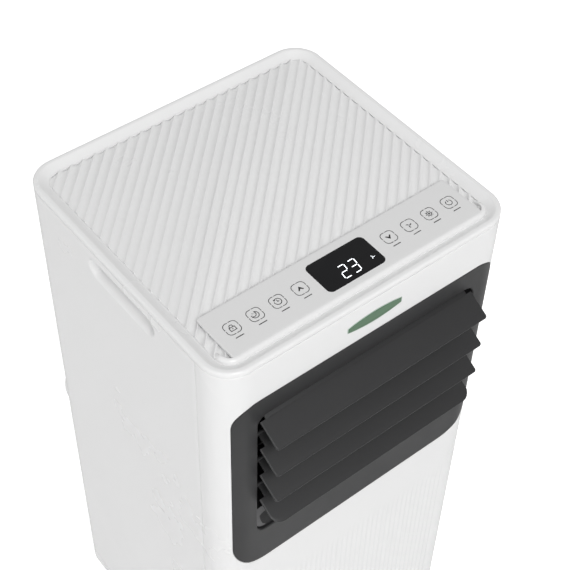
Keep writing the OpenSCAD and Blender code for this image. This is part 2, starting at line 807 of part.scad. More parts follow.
module upper_filter() filter_panel(upper_filter_z, upper_filter_h);
module upper_mesh() filter_mesh(upper_filter_z, upper_filter_h);
module lower_filter() filter_panel(lower_filter_mid, lower_filter_h);
module lower_mesh() filter_mesh(lower_filter_mid, lower_filter_h);

// ---- exhaust, drain and cord ----

screw_r = 1.5;
screw_head_r = 3.2;
flange_t = 2.5;
collar_in = 9;

module collar_screw_places() {
    for (sx = [-1, 1], sz = [-1, 1])
        translate([-hose_side + sx * (flange_w / 2 - 9), hose_z + sz * (flange_w / 2 - 9)]) children();
}

module hose_collar() {
    color(white) difference() {
        union() {
            front_view(back_y, flange_t) translate([-hose_side, hose_z]) round_rect(flange_w, flange_w, 12);
            front_view(back_y - collar_in, collar_in + hose_out) translate([-hose_side, hose_z]) circle(hose_r + hose_wall);
        }
        front_view(back_y - 2 * collar_in, 2 * collar_in + 2 * hose_out) translate([-hose_side, hose_z]) circle(hose_r);
        front_view(back_y - 1, 2 * flange_t) collar_screw_places() circle(screw_r + fit_gap / 2);
    }
}

module collar_screws() {
    color(steel) {
        front_view(back_y - 8, 8 + flange_t + eps) collar_screw_places() circle(screw_r);
        difference() {
            front_view(back_y + flange_t, 1.8) collar_screw_places() circle(screw_head_r);
            front_view(back_y + flange_t + 0.8, 2) collar_screw_places() square([4, 0.9], center = true);
            front_view(back_y + flange_t + 0.8, 2) collar_screw_places() square([0.9, 4], center = true);
        }
    }
}

module drain_spigot() {
    color(grey) difference() {
        union() {
            drain_axis(spigot_r, back_y - 3 * wall, 3 * wall + spigot_out);
            drain_axis(spigot_r + 2, back_y, 1.4);
        }
        drain_axis(drain_r, back_y - 6 * wall, 6 * wall + 2 * spigot_out);
    }
}

module drain_plug() {
    color("dimgray") {
        drain_axis(drain_r - shaft_gap, back_y + 2, spigot_out - 2 + eps);
        drain_axis(spigot_r + 1, back_y + spigot_out, 2.4);
        translate([service_x - 1, back_y + spigot_out + 2, drain_z - 4]) cube([2, 5, 8]);
    }
}

module cord_gland() {
    gland_r = cord_r + 3;
    color("dimgray") translate([service_x, back_y, gland_z]) rotate([-90, 0, 0]) difference() {
        union() {
            translate([0, 0, -wall - 3]) cylinder(h = wall + 3, r = gland_r);
            translate([0, 0, -wall - 3]) cylinder(h = 3 - fit_gap, r = gland_r + 2);
            cylinder(h = 3, r = gland_r + 3);
            translate([0, 0, 2]) cylinder(h = 8, r = gland_r);
        }
        translate([0, 0, -wall - 4]) cylinder(h = 30, r = cord_r);
    }
}

// ---- cooling parts ----

coil_half_w = body_w / 2 - coil_inset;
coil_front = back_y - coil_back - coil_d;
cold_floor = body_h - 282;
tray_rise = 15;
evaporator_z = cold_floor + 22;
evaporator_h = 226;
condenser_z = base_z + pan_h + 6;
condenser_h = 156;

// Finned coil on its end plates, with tubes and the bends at one end
module coil(z, h, rows, foot) {
    fins = floor(2 * coil_half_w / fin_pitch) - 1;
    first = -(fins - 1) / 2 * fin_pitch;
    color(steel) {
        for (s = [-1, 1]) translate([s * coil_half_w - 0.8, coil_front, z - foot]) cube([1.6, coil_d, h + foot]);
        for (i = [0:fins - 1]) translate([first + i * fin_pitch - 0.3, coil_front + 1, z + 2]) cube([0.6, coil_d - 2, h - 4]);
    }
    color(copper) for (k = [0:rows - 1]) translate([0, coil_front + coil_d / 2, z + (k + 0.5) * h / rows]) {
        translate([-coil_half_w - 4, 0, 0]) rotate([0, 90, 0]) cylinder(h = 2 * coil_half_w + 8, r = tube_r);
        if (k % 2 == 0 && k < rows - 1) translate([coil_half_w + 4, 0, h / rows / 2]) rotate([90, 0, 0])
            rotate([0, 0, -90]) rotate_extrude(angle = 180) translate([h / rows / 2, 0]) circle(tube_r);
    }
}

module evaporator() coil(evaporator_z, evaporator_h, 4, evaporator_z - cold_floor - 5);
module condenser() coil(condenser_z, condenser_h, 4, condenser_z - base_z - wall);

module partition() {
    color(grey) translate([0, 0, cold_floor]) linear_extrude(3) difference() {
        plan(2 * wall + fit_gap + 0.6);
        translate([pipe_x, pipe_y]) circle(tube_r + 2);
    }
}

module drip_tray() {
    color(grey) difference() {
        translate([-coil_half_w - 4, coil_front - 6, cold_floor + 3]) cube([2 * coil_half_w + 8, coil_d + 12, tray_rise]);
        translate([-coil_half_w - 2, coil_front - 4, cold_floor + 5]) cube([2 * coil_half_w + 4, coil_d + 8, tray_rise]);
    }
}

fan_y = (frame_back + coil_front) / 2 - 18;
fan_z = body_h - fan_drop;
fan_half_w = body_w / 2 - fan_inset;
guide_r = fan_r + 8;

// Curved back wall and end plates round the crossflow fan
module air_guide() {
    end_x = fan_half_w + 5;
    plate_r = guide_r + 5;
    color(grey) difference() {
        union() {
            side_view(-end_x - eps, 2 * end_x + 2 * eps) difference() {
                union() {
                    intersection() {
                        translate([fan_y, fan_z]) circle(guide_r + 2.4);
                        translate([frame_back, fan_z - 2 * guide_r]) square([4 * guide_r, 2 * guide_r]);
                    }
                    translate([frame_back, fan_z - guide_r - 1.8]) square([fan_y - frame_back + 12, 2.4]);
                }
                translate([fan_y, fan_z]) circle(guide_r);
            }
            for (s = [-1, 1]) side_view(s > 0 ? end_x : -end_x - 2.4, 2.4)
                translate([frame_back, fan_z - plate_r]) square([fan_y - frame_back + plate_r, 2 * plate_r]);
        }
        translate([-body_w / 2, fan_y, fan_z]) rotate([0, 90, 0]) cylinder(h = body_w, r = fan_shaft_r + shaft_gap);
    }
}

// Drum of long blades between discs, on its shaft
module crossflow_fan() {
    blades = 24;
    blade_w = 11;
    color(grey) translate([0, fan_y, fan_z]) rotate([0, 90, 0]) {
        for (x = [-fan_half_w, -fan_half_w / 3, fan_half_w / 3, fan_half_w]) translate([0, 0, x - 1]) difference() {
            cylinder(h = 2, r = fan_r);
            if (abs(x) < fan_half_w) translate([0, 0, -1]) cylinder(h = 4, r = fan_r - blade_w - 2);
        }
        for (k = [0:blades - 1]) rotate([0, 0, k * 360 / blades])
            translate([fan_r - blade_w - 0.5, 0, -fan_half_w]) rotate([0, 0, 24]) cube([blade_w, 1.4, 2 * fan_half_w]);
        translate([0, 0, -fan_half_w - 7]) cylinder(h = 8, r = fan_shaft_r);
        translate([0, 0, fan_half_w - 1]) cylinder(h = 16, r = fan_shaft_r);
    }
}

module fan_motor() {
    motor_x = fan_half_w + 5 + 2.4;
    color(steel) translate([motor_x, fan_y, fan_z]) rotate([0, 90, 0]) difference() {
        union() {
            cylinder(h = 22, r = 36);
            translate([0, 0, 22 - eps]) cylinder(h = 4, r = 14);
        }
        translate([0, 0, -1]) cylinder(h = 12, r = fan_shaft_r + shaft_gap);
    }
}

blower_x = -hose_side;
scroll_r = blower_r + 12;
scroll_back = coil_front - 4;
scroll_d = blower_d + 12;
scroll_front = scroll_back - scroll_d;
blower_z = base_z + pan_h + 2 + scroll_r;
duct_low = hose_z - hose_r - 5.5;
duct_half_w = hose_r + 7;

// Round housing of the exhaust wheel, open in front and at the top
module exhaust_scroll() {
    color(grey) difference() {
        union() {
            front_view(scroll_front, scroll_d) {
                translate([blower_x, blower_z]) circle(scroll_r);
                translate([blower_x - scroll_r, blower_z]) square([2 * scroll_r, duct_low - blower_z]);
                for (s = [-1, 1]) translate([blower_x + s * scroll_r / 2 - 3, base_z + wall])
                    square([6, scroll_r / 2]);
            }
        }
        front_view(scroll_front + 2, scroll_d - 4) {
            translate([blower_x, blower_z]) circle(scroll_r - 2);
            translate([blower_x - scroll_r + 2, blower_z]) square([2 * scroll_r - 4, duct_low - blower_z + 1]);
        }
        front_view(scroll_front - 1, 4) translate([blower_x, blower_z]) circle(blower_r - 12);
    }
}

// Box that turns the warm air back to the collar
module exhaust_duct() {
    duct_back = back_y - collar_in;
    duct_top = hose_z + hose_r + 5;
    color(grey) difference() {
        translate([blower_x - duct_half_w - 2, scroll_front, duct_low])
            cube([2 * duct_half_w + 4, duct_back - scroll_front, duct_top - duct_low]);
        translate([blower_x - duct_half_w, scroll_front + 2, duct_low + 2])
            cube([2 * duct_half_w, duct_back - scroll_front - 4, duct_top - duct_low - 4]);
        translate([blower_x - scroll_r + 4, scroll_front + 2, duct_low - 1])
            cube([2 * scroll_r - 8, scroll_d - 4, 4]);
        front_view(duct_back - 4, 8) translate([-hose_side, hose_z]) circle(hose_r + 1);
    }
}

module exhaust_wheel() {
    blades = 28;
    wheel_front = scroll_front + 6;
    color(grey) translate([blower_x, wheel_front, blower_z]) rotate([-90, 0, 0]) {
        difference() {
            union() {
                translate([0, 0, blower_d - 2]) cylinder(h = 2, r = blower_r);
                difference() {
                    cylinder(h = 2, r = blower_r);
                    translate([0, 0, -1]) cylinder(h = 4, r = blower_r - 12);
                }
                for (k = [0:blades - 1]) rotate([0, 0, k * 360 / blades])
                    translate([blower_r - 11.5, 0, 1]) rotate([0, 0, 30]) cube([11, 1.2, blower_d - 2]);
                translate([0, 0, blower_d - 20]) cylinder(h = 20, r = 12);
            }
            translate([0, 0, -1]) cylinder(h = blower_d - 1, r = fan_shaft_r);
        }
        translate([0, 0, -12]) cylinder(h = blower_d + 8, r = fan_shaft_r);
    }
}

module exhaust_motor() {
    motor_d = 46;
    color(steel) difference() {
        union() {
            front_view(scroll_front - motor_d, motor_d - 4) translate([blower_x, blower_z]) circle(40);
            for (a = [30, 150, 270]) translate([blower_x, scroll_front - 3, blower_z]) rotate([0, a, 0])
                translate([30, -3, -5]) cube([blower_r - 12 + 8 - 30, 3, 10]);
            for (a = [30, 150, 270]) translate([blower_x, scroll_front - 3, blower_z]) rotate([0, a, 0])
                translate([blower_r - 10, -eps, -5]) cube([6, 3 + eps, 10]);
        }
        front_view(scroll_front - 20, 30) translate([blower_x, blower_z]) circle(fan_shaft_r + shaft_gap);
    }
}

compressor_x = body_w / 2 - 80;
compressor_y = front_y + 115;
compressor_z = base_z + wall + 20;
pipe_x = compressor_x - compressor_r - 15;
pipe_y = compressor_y - 44;
accumulator_r = 24;

module compressor() {
    color("dimgray") translate([compressor_x, compressor_y, compressor_z]) difference() {
        union() {
            translate([0, 0, 12]) cylinder(h = compressor_h - 24, r = compressor_r);
            for (z = [12, compressor_h - 12]) translate([0, 0, z]) intersection() {
                scale_cap(compressor_r, 12);
                translate([0, 0, z > 50 ? 50 : -50]) cube([4 * compressor_r, 4 * compressor_r, 100], center = true);
            }
            translate([0, 0, 2]) linear_extrude(3) for (a = [0, 120, 240]) rotate(a)
                translate([0, -12]) square([compressor_r + 12, 24]);
        }
        translate([0, 0, 16]) cylinder(h = compressor_h - 32, r = compressor_r - 4);
        for (a = [0, 120, 240]) rotate([0, 0, a]) translate([compressor_r + 4, 0, -1]) cylinder(h = 8, r = 5.3);
    }
}

// Shallow dome of a given radius at its rim and a given rise, both ways from its middle
module scale_cap(r, rise) {
    cap_r = (r * r + rise * rise) / (2 * rise);
    intersection() {
        translate([0, 0, rise - cap_r]) sphere(cap_r);
        translate([0, 0, cap_r - rise]) sphere(cap_r);
    }
}

module compressor_feet() {
    color("black") translate([compressor_x, compressor_y, base_z + wall]) for (a = [0, 120, 240])
        rotate([0, 0, a]) translate([compressor_r + 4, 0, 0]) {
            cylinder(h = 22, r = 8);
            cylinder(h = 27, r = 5);
        }
}

// Accumulator with its bracket and the short pipe to the compressor
module accumulator() {
    reach = norm([compressor_x - pipe_x, compressor_y - pipe_y]) - compressor_r;
    turn = atan2(compressor_y - pipe_y, compressor_x - pipe_x);
    color("dimgray") translate([pipe_x, pipe_y, compressor_z + 30]) {
        cylinder(h = 120, r = accumulator_r);
        translate([0, 0, 119]) cylinder(h = 6, r = 12);
        rotate([0, 0, turn]) {
            translate([0, -6, 80]) cube([reach, 12, 3]);
            translate([0, 0, 12]) rotate([0, 90, 0]) cylinder(h = reach, r = tube_r);
        }
    }
}

bend_r = 14;
module suction_pipe() {
    top_z = cold_floor + 3 + tray_rise + 10;
    low_z = compressor_z + 155;
    color(copper) {
        translate([pipe_x, pipe_y, low_z + 0.2]) cylinder(h = top_z - bend_r - low_z - 0.2, r = tube_r);
        translate([pipe_x, pipe_y + bend_r, top_z - bend_r]) rotate([90, 0, -90]) rotate_extrude(angle = 90)
            translate([bend_r, 0]) circle(tube_r);
        translate([pipe_x, pipe_y + bend_r, top_z]) rotate([-90, 0, 0])
            cylinder(h = coil_front - pipe_y - bend_r - 0.3, r = tube_r);
    }
}

module discharge_pipe() {
    low_z = compressor_z + compressor_h;
    run_z = low_z + 20;
    end_y = coil_front + coil_d / 2;
    color(copper) {
        translate([compressor_x, compressor_y, low_z]) cylinder(h = 20 - bend_r, r = tube_r);
        translate([compressor_x, compressor_y + bend_r, run_z - bend_r]) rotate([90, 0, -90])
            rotate_extrude(angle = 90) translate([bend_r, 0]) circle(tube_r);
        translate([compressor_x, compressor_y + bend_r, run_z]) rotate([-90, 0, 0])
            cylinder(h = end_y - compressor_y - 2 * bend_r, r = tube_r);
        translate([compressor_x, end_y - bend_r, run_z - bend_r]) rotate([90, 0, 90])
            rotate_extrude(angle = 90) translate([bend_r, 0]) circle(tube_r);
        translate([compressor_x, end_y, condenser_z + condenser_h + 0.3])
            cylinder(h = run_z - bend_r - condenser_z - condenser_h - 0.3, r = tube_r);
    }
}

box_w = 104;
box_d = 44;
box_h = 130;
box_x = -body_w / 2 + 18;
box_y = front_y + 10;
box_z = cold_floor - box_h;

module electrical_box() {
    color(steel) difference() {
        translate([box_x, box_y + 2, box_z]) cube([box_w, box_d, box_h]);
        translate([box_x + 1.5, box_y, box_z + 1.5]) cube([box_w - 3, box_d, box_h - 3]);
    }
}

module electrical_lid() {
    color(steel) translate([box_x, box_y, box_z]) cube([box_w, 2, box_h - 0.5]);
}

base_pan();
front_shell();
rear_shell();
top_cover();
ribbed_deck();
control_panel();
display_window();
control_board();
badge_plate();
outlet_bezel();
outlet_frame();
sill_clip();
louvre_1();
louvre_2();
louvre_3();
louvre_4();
louvre_link();
swing_motor();
swing_shaft();
upper_filter();
upper_mesh();
lower_filter();
lower_mesh();
hose_collar();
collar_screws();
drain_spigot();
drain_plug();
cord_gland();
castor(0);  // castor_front_left
castor(1);  // castor_front_right
castor(2);  // castor_rear_left
castor(3);  // castor_rear_right
castor_wheels(0);  // wheels_front_left
castor_wheels(1);  // wheels_front_right
castor_wheels(2);  // wheels_rear_left
castor_wheels(3);  // wheels_rear_right
partition();
drip_tray();
evaporator();
air_guide();
crossflow_fan();
fan_motor();
condenser();
exhaust_scroll();
exhaust_duct();
exhaust_wheel();
exhaust_motor();
compressor();
compressor_feet();
accumulator();
suction_pipe();
discharge_pipe();
electrical_box();
electrical_lid();
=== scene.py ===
"""Visible surfaces of a portable air conditioner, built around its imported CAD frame.

Sizes are in millimetres until a mesh is made. The cabinet's plan is a rounded rectangle; s is the distance
along it from the middle of the front towards +X, z the height, and depth the distance in from the skin.
"""
import math

import bpy
import numpy as np
from mathutils import Matrix, Vector


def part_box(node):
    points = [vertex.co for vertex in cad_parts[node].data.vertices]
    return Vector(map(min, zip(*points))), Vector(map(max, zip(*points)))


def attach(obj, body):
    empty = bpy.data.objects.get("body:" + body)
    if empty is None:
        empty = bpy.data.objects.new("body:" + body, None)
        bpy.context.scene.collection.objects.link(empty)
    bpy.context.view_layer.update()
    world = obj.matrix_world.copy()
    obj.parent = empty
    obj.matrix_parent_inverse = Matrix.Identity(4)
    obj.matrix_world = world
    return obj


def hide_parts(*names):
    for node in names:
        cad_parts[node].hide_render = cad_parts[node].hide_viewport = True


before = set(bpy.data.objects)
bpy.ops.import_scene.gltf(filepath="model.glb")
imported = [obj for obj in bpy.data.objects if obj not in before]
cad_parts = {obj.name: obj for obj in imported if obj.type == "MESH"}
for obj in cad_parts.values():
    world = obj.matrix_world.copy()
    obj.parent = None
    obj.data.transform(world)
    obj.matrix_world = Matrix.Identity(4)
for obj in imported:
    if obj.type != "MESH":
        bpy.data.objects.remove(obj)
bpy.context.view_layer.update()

MM = 0.001


def box_mm(node):
    """Lowest and highest corner of a CAD node, in millimetres."""
    low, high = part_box(node)
    return np.array(low) / MM, np.array(high) / MM


# ---- driving sizes, from the frame ----

pan_low, pan_high = box_mm("base_pan")
cover_high = box_mm("top_cover")[1]
front_low, front_high = box_mm("front_shell")
deck_low, deck_high = box_mm("ribbed_deck")
panel_low, panel_high = box_mm("control_panel")
window_low, window_high = box_mm("display_window")
badge_low, badge_high = box_mm("badge_plate")
bezel_low, bezel_high = box_mm("outlet_bezel")
frame_high = box_mm("outlet_frame")[1]

BODY_W = pan_high[0] - pan_low[0]
BODY_D = pan_high[1] - pan_low[1]
BODY_H = deck_high[2]
FRONT = pan_low[1]
CORNER_R = 30.0
SEAM_GAP = 0.3
SHELL_LOW = front_low[2]
SHELL_TOP = front_high[2]
SEAM_BACK = front_high[1] - FRONT
WALL = 2.6

FLAT_X = BODY_W / 2 - CORNER_R
FLAT_Y = BODY_D / 2 - CORNER_R
ARC = CORNER_R * math.pi / 2
SEAM_S = FLAT_X + ARC + SEAM_BACK - CORNER_R
PERIMETER = 4 * (FLAT_X + FLAT_Y + ARC)


# ---- mesh tools ----

def grid_quads(rows, cols, close_rows=False, close_cols=False):
    """Quads between neighbouring points of a grid stored row by row.

    A closed direction also joins its last points to its first."""
    r = np.arange(rows if close_rows else rows - 1)
    c = np.arange(cols if close_cols else cols - 1)
    r, c = (a.ravel() for a in np.meshgrid(r, c, indexing="ij"))
    r_next, c_next = (r + 1) % rows, (c + 1) % cols
    return np.stack([r * cols + c, r * cols + c_next, r_next * cols + c_next, r_next * cols + c], -1)


def facing_out(points, faces):
    """The faces of a closed solid, turned round if their signed volume is negative."""
    a, b, c, d = (points[faces[:, k]] for k in range(4))
    centre = points.mean(0)
    volume = np.einsum("ij,ij->i", a - centre, np.cross(b - centre, c - centre)).sum()
    volume += np.einsum("ij,ij->i", a - centre, np.cross(c - centre, d - centre)).sum()
    return faces[:, ::-1] if volume < 0 else faces


def slab(front, back):
    """Closed solid between two grids of the same size: both sheets, and a strip along each of the edges."""
    rows, cols = front.shape[:2]
    count = rows * cols
    points = np.concatenate([front.reshape(-1, 3), back.reshape(-1, 3)])
    sheet = grid_quads(rows, cols)
    index = np.arange(count).reshape(rows, cols)
    rim = np.concatenate([index[0, :-1], index[:-1, -1], index[-1, :0:-1], index[:0:-1, 0]])
    after = np.roll(rim, -1)
    strip = np.stack([after, rim, rim + count, after + count], -1)
    faces = np.concatenate([sheet, sheet[:, ::-1] + count, strip])
    return points, facing_out(points, faces)


def tube_solid(rings):
    """Closed solid through rings of points, each a closed loop, with a fan over the first and the last ring."""
    rows, cols = rings.shape[:2]
    points = np.concatenate([rings.reshape(-1, 3), rings[0].mean(0)[None], rings[-1].mean(0)[None]])
    faces = [grid_quads(rows, cols, close_cols=True)]
    here = np.arange(cols)
    step = (here + 1) % cols
    first, last = rows * cols, rows * cols + 1
    base = (rows - 1) * cols
    faces.append(np.stack([step, here, np.full(cols, first), np.full(cols, first)], -1))
    faces.append(np.stack([base + here, base + step, np.full(cols, last), np.full(cols, last)], -1))
    faces = np.concatenate(faces)
    return points, facing_out(points, faces)


def loop_solid(rings):
    """Closed solid through rings of points that also joins its last ring to its first, like a bent tyre."""
    rows, cols = rings.shape[:2]
    points = rings.reshape(-1, 3)
    return points, facing_out(points, grid_quads(rows, cols, close_rows=True, close_cols=True))


def joined(*solids):
    """Several solids as one set of points and faces."""
    points, faces, start = [], [], 0
    for p, f in solids:
        points.append(p)
        faces.append(f + start)
        start += len(p)
    return np.concatenate(points), np.concatenate(faces)


def piece(name, solid, body, material, stands_for=(), sharp=35.0):
    """Makes a named mesh object from a solid in millimetres and rides it on a body.

    It is smooth up to the sharp angle, in degrees, and may stand for CAD nodes."""
    points, faces = solid
    lists = [list(dict.fromkeys(f)) for f in faces.tolist()]
    mesh = bpy.data.meshes.new(name)
    mesh.from_pydata((points * MM).tolist(), [], [f for f in lists if len(f) > 2])
    mesh.validate()
    mesh.shade_smooth()
    mesh.set_sharp_from_angle(angle=math.radians(sharp))
    mesh.materials.append(material)
    obj = bpy.data.objects.new(name, mesh)
    bpy.context.scene.collection.objects.link(obj)
    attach(obj, body)
    if stands_for:
        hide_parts(*stands_for)
    return obj


# ---- outlines ----

def plan_at(s, inset):
    """Point of the cabinet's plan at distance s, moved in by inset.

    The plan is four straights and four quarter circles, and the inset shortens the radius of the circles."""
    s, inset = np.broadcast_arrays(np.asarray(s, float), np.asarray(inset, float))
    s = np.mod(s, PERIMETER)
    x, y = np.zeros_like(s), np.zeros_like(s)
    start = 0.0
    runs = [(FLAT_X, (0, -1), (0.0, -FLAT_Y)), (ARC, None, (FLAT_X, -FLAT_Y, -90.0)),
            (2 * FLAT_Y, (1, 0), (FLAT_X, -FLAT_Y)), (ARC, None, (FLAT_X, FLAT_Y, 0.0)),
            (2 * FLAT_X, (0, 1), (FLAT_X, FLAT_Y)), (ARC, None, (-FLAT_X, FLAT_Y, 90.0)),
            (2 * FLAT_Y, (-1, 0), (-FLAT_X, FLAT_Y)), (ARC, None, (-FLAT_X, -FLAT_Y, 180.0)),
            (FLAT_X, (0, -1), (-FLAT_X, -FLAT_Y))]
    reach = CORNER_R - inset
    for length, normal, place in runs:
        here = (s >= start - 1e-9) & (s <= start + length + 1e-9)
        t = s - start
        if normal is None:
            angle = np.radians(place[2] + 90.0 * t / ARC)
            px, py = place[0] + reach * np.cos(angle), place[1] + reach * np.sin(angle)
        else:
            px = place[0] - normal[1] * t + normal[0] * reach
            py = place[1] + normal[0] * t + normal[1] * reach
        x, y = np.where(here, px, x), np.where(here, py, y)
        start += length
    return x, y


def on_skin(s, z, depth):
    """Points of the cabinet's skin at distance s and height z, moved in by depth."""
    s, z, depth = np.broadcast_arrays(np.asarray(s, float), np.asarray(z, float), np.asarray(depth, float))
    x, y = plan_at(s, depth)
    return np.stack([x, y, z], -1)


def rounded_box(half_w, low, high, low_r, top_r, arc_steps=10, side_step=6.0, aims=()):
    """Outline points of an upright rounded rectangle, and the outward direction at each, anticlockwise.

    A straight is even steps and a corner is a quarter circle.
    aims adds to each corner the direction of a point."""
    points, outward = [], []
    corners = [(half_w - low_r, low + low_r, low_r, -90.0), (half_w - top_r, high - top_r, top_r, 0.0),
               (-half_w + top_r, high - top_r, top_r, 90.0), (-half_w + low_r, low + low_r, low_r, 180.0)]
    for k, (cx, cz, r, first) in enumerate(corners):
        angles = np.linspace(first, first + 90.0, arc_steps + 1)
        if len(aims):
            aim = math.degrees(math.atan2(aims[k][1] - cz, aims[k][0] - cx)) % 360
            angles = np.sort(np.append(angles, aim if first >= 0 else aim - 360))
        angles = np.radians(angles)
        direction = np.stack([np.cos(angles), np.sin(angles)], -1)
        points.append(np.array([cx, cz]) + r * direction)
        outward.append(direction)
        nx, nz, nr, n_first = corners[(k + 1) % 4]
        turn = np.radians(n_first)
        end = np.array([nx, nz]) + nr * np.array([math.cos(turn), math.sin(turn)])
        begin = points[-1][-1]
        steps = max(1, int(np.linalg.norm(end - begin) / side_step))
        share = (np.arange(1, steps) / steps)[:, None]
        points.append(begin + share * (end - begin))
        outward.append(np.broadcast_to(direction[-1], (steps - 1, 2)))
    return np.concatenate(points), np.concatenate(outward)


def cast(points, outward, west, east, low, high):
    """Where a ray from each outline point, in its outward direction, meets an upright rectangle."""
    with np.errstate(divide="ignore", invalid="ignore"):
        to_side = (np.where(outward[:, 0] > 0, east, west) - points[:, 0]) / outward[:, 0]
        to_level = (np.where(outward[:, 1] > 0, high, low) - points[:, 1]) / outward[:, 1]
    to_side = np.where(np.abs(outward[:, 0]) < 1e-6, np.inf, to_side)
    to_level = np.where(np.abs(outward[:, 1]) < 1e-6, np.inf, to_level)
    return points + outward * np.minimum(to_side, to_level)[:, None]


def fillet(radius, steps=4):
    """Pairs of distance from an edge and depth below the face, down a quarter circle from face to edge."""
    angle = np.linspace(0, math.pi / 2, steps + 1)
    return [(radius * (1 - math.sin(a)), radius * (1 - math.cos(a))) for a in angle]


def swept_round(profile, steps=14, close=False):
    """A profile of (inset, height) pairs carried round the whole plan."""
    side_steps = 10
    runs = [(FLAT_X, 6), (ARC, steps), (2 * FLAT_Y, side_steps), (ARC, steps), (2 * FLAT_X, side_steps),
            (ARC, steps), (2 * FLAT_Y, side_steps), (ARC, steps), (FLAT_X, 6)]
    ends = np.cumsum([0.0] + [length for length, _ in runs])
    pieces = [np.linspace(a, b, n + 1) for a, b, (_, n) in zip(ends, ends[1:], runs)]
    s = np.unique(np.concatenate(pieces).round(6))[:-1]
    profile = np.array(profile)
    rings = on_skin(s[None], profile[:, 1, None], profile[:, 0, None])
    return loop_solid(rings) if close else tube_solid(rings)


def arc_points(cx, cy, r, a0, a1, steps):
    """Points on a circle's arc between two angles in degrees."""
    a = np.radians(np.linspace(a0, a1, steps + 1))
    return [(cx + r * math.cos(t), cy + r * math.sin(t)) for t in a]


def smooth_step(x):
    """0 below 0, 1 above 1, and 3x^2 - 2x^3 between."""
    x = np.clip(x, 0, 1)
    return x * x * (3 - 2 * x)


# ---- finishes ----

def group(name, inputs, outputs):
    """An empty shader node group with named float or vector inputs and float outputs."""
    tree = bpy.data.node_groups.new(name, "ShaderNodeTree")
    for label, kind, value in inputs:
        socket = tree.interface.new_socket(label, in_out="INPUT", socket_type="NodeSocket" + kind)
        if value is not None:
            socket.default_value = value
    for label in outputs:
        tree.interface.new_socket(label, in_out="OUTPUT", socket_type="NodeSocketFloat")
    return tree, tree.nodes.new("NodeGroupInput"), tree.nodes.new("NodeGroupOutput")


def noise(tree, position, scale, detail=2.0, rough=0.5):
    """A noise texture on a position socket."""
    node = tree.nodes.new("ShaderNodeTexNoise")
    node.inputs["Scale"].default_value = scale
    node.inputs["Detail"].default_value = detail
    node.inputs["Roughness"].default_value = rough
    tree.links.new(position, node.inputs["Vector"])
    return node


def math_node(tree, kind, a, b=None, clamp=False):
    """A math node whose inputs are sockets or numbers; returns its output."""
    node = tree.nodes.new("ShaderNodeMath")
    node.operation = kind
    node.use_clamp = clamp
    for k, value in enumerate((a, b)):
        if value is None:
            continue
        if isinstance(value, (int, float)):
            node.inputs[k].default_value = value
        else:
            tree.links.new(value, node.inputs[k])
    return node.outputs[0]


def remap(tree, value, low, high, to_low, to_high):
    """Maps a value's range onto another, held at both ends."""
    node = tree.nodes.new("ShaderNodeMapRange")
    tree.links.new(value, node.inputs["Value"])
    for label, number in (("From Min", low), ("From Max", high), ("To Min", to_low), ("To Max", to_high)):
        if isinstance(number, (int, float)):
            node.inputs[label].default_value = number
        else:
            tree.links.new(number, node.inputs[label])
    return node.outputs["Result"]


def grain_group():
    """Fine spark-eroded grain of a moulded skin: two noises of different size, weighted and added."""
    tree, given, out = group("moulded grain", [("Position", "Vector", None), ("Coarse", "Float", 700.0),
                                               ("Fine", "Float", 2600.0)], ["Height", "Mottle"])
    coarse = noise(tree, given.outputs["Position"], 700.0, 3.0)
    fine = noise(tree, given.outputs["Position"], 2600.0, 1.0)
    tree.links.new(given.outputs["Coarse"], coarse.inputs["Scale"])
    tree.links.new(given.outputs["Fine"], fine.inputs["Scale"])
    height = math_node(tree, "ADD", math_node(tree, "MULTIPLY", coarse.outputs["Fac"], 0.6),
                       math_node(tree, "MULTIPLY", fine.outputs["Fac"], 0.4))
    tree.links.new(height, out.inputs["Height"])
    broad = noise(tree, given.outputs["Position"], 9.0, 4.0, 0.6)
    tree.links.new(remap(tree, broad.outputs["Fac"], 0.3, 0.7, 0.0, 1.0), out.inputs["Mottle"])
    return tree


def dust_group():
    """Settled dust and scuffs: a noise patch on faces that look up, plus a band that fades upwards.

    The band is 1 below the low level and falls to 0 over the fade."""
    tree, given, out = group("settled dust", [("Position", "Vector", None), ("Low level", "Float", 0.05),
                                              ("Fade", "Float", 0.08), ("On top", "Float", 0.3)], ["Mask"])
    split = tree.nodes.new("ShaderNodeSeparateXYZ")
    tree.links.new(given.outputs["Position"], split.inputs[0])
    over_low = math_node(tree, "SUBTRACT", split.outputs["Z"], given.outputs["Low level"])
    above = math_node(tree, "DIVIDE", over_low, given.outputs["Fade"])
    low = math_node(tree, "SUBTRACT", 1.0, above, clamp=True)
    patch = noise(tree, given.outputs["Position"], 38.0, 5.0, 0.7)
    speck = remap(tree, patch.outputs["Fac"], 0.45, 0.7, 0.0, 1.0)
    facing = tree.nodes.new("ShaderNodeNewGeometry")
    normal = tree.nodes.new("ShaderNodeSeparateXYZ")
    tree.links.new(facing.outputs["Normal"], normal.inputs[0])
    up = remap(tree, normal.outputs["Z"], 0.6, 0.95, 0.0, 1.0)
    top = math_node(tree, "MULTIPLY", math_node(tree, "MULTIPLY", up, speck), given.outputs["On top"])
    band = math_node(tree, "MULTIPLY", low, speck)
    tree.links.new(math_node(tree, "ADD", top, band, clamp=True), out.inputs["Mask"])
    return tree


GRAIN = grain_group()
DUST = dust_group()
DUST_TINT = (0.46, 0.455, 0.445, 1.0)
DUST_VEIL = 0.07
DUST_ROUGHNESS = 0.06
MOTTLE_ROUGHNESS = 0.035
COAT_ROUGHNESS = 0.12


def add_group(tree, which, position, **values):
    """Places a shared node group, fed by a position, with its own values."""
    node = tree.nodes.new("ShaderNodeGroup")
    node.node_tree = which
    tree.links.new(position, node.inputs["Position"])
    for label, value in values.items():
        node.inputs[label.replace("_", " ")].default_value = value
    return node


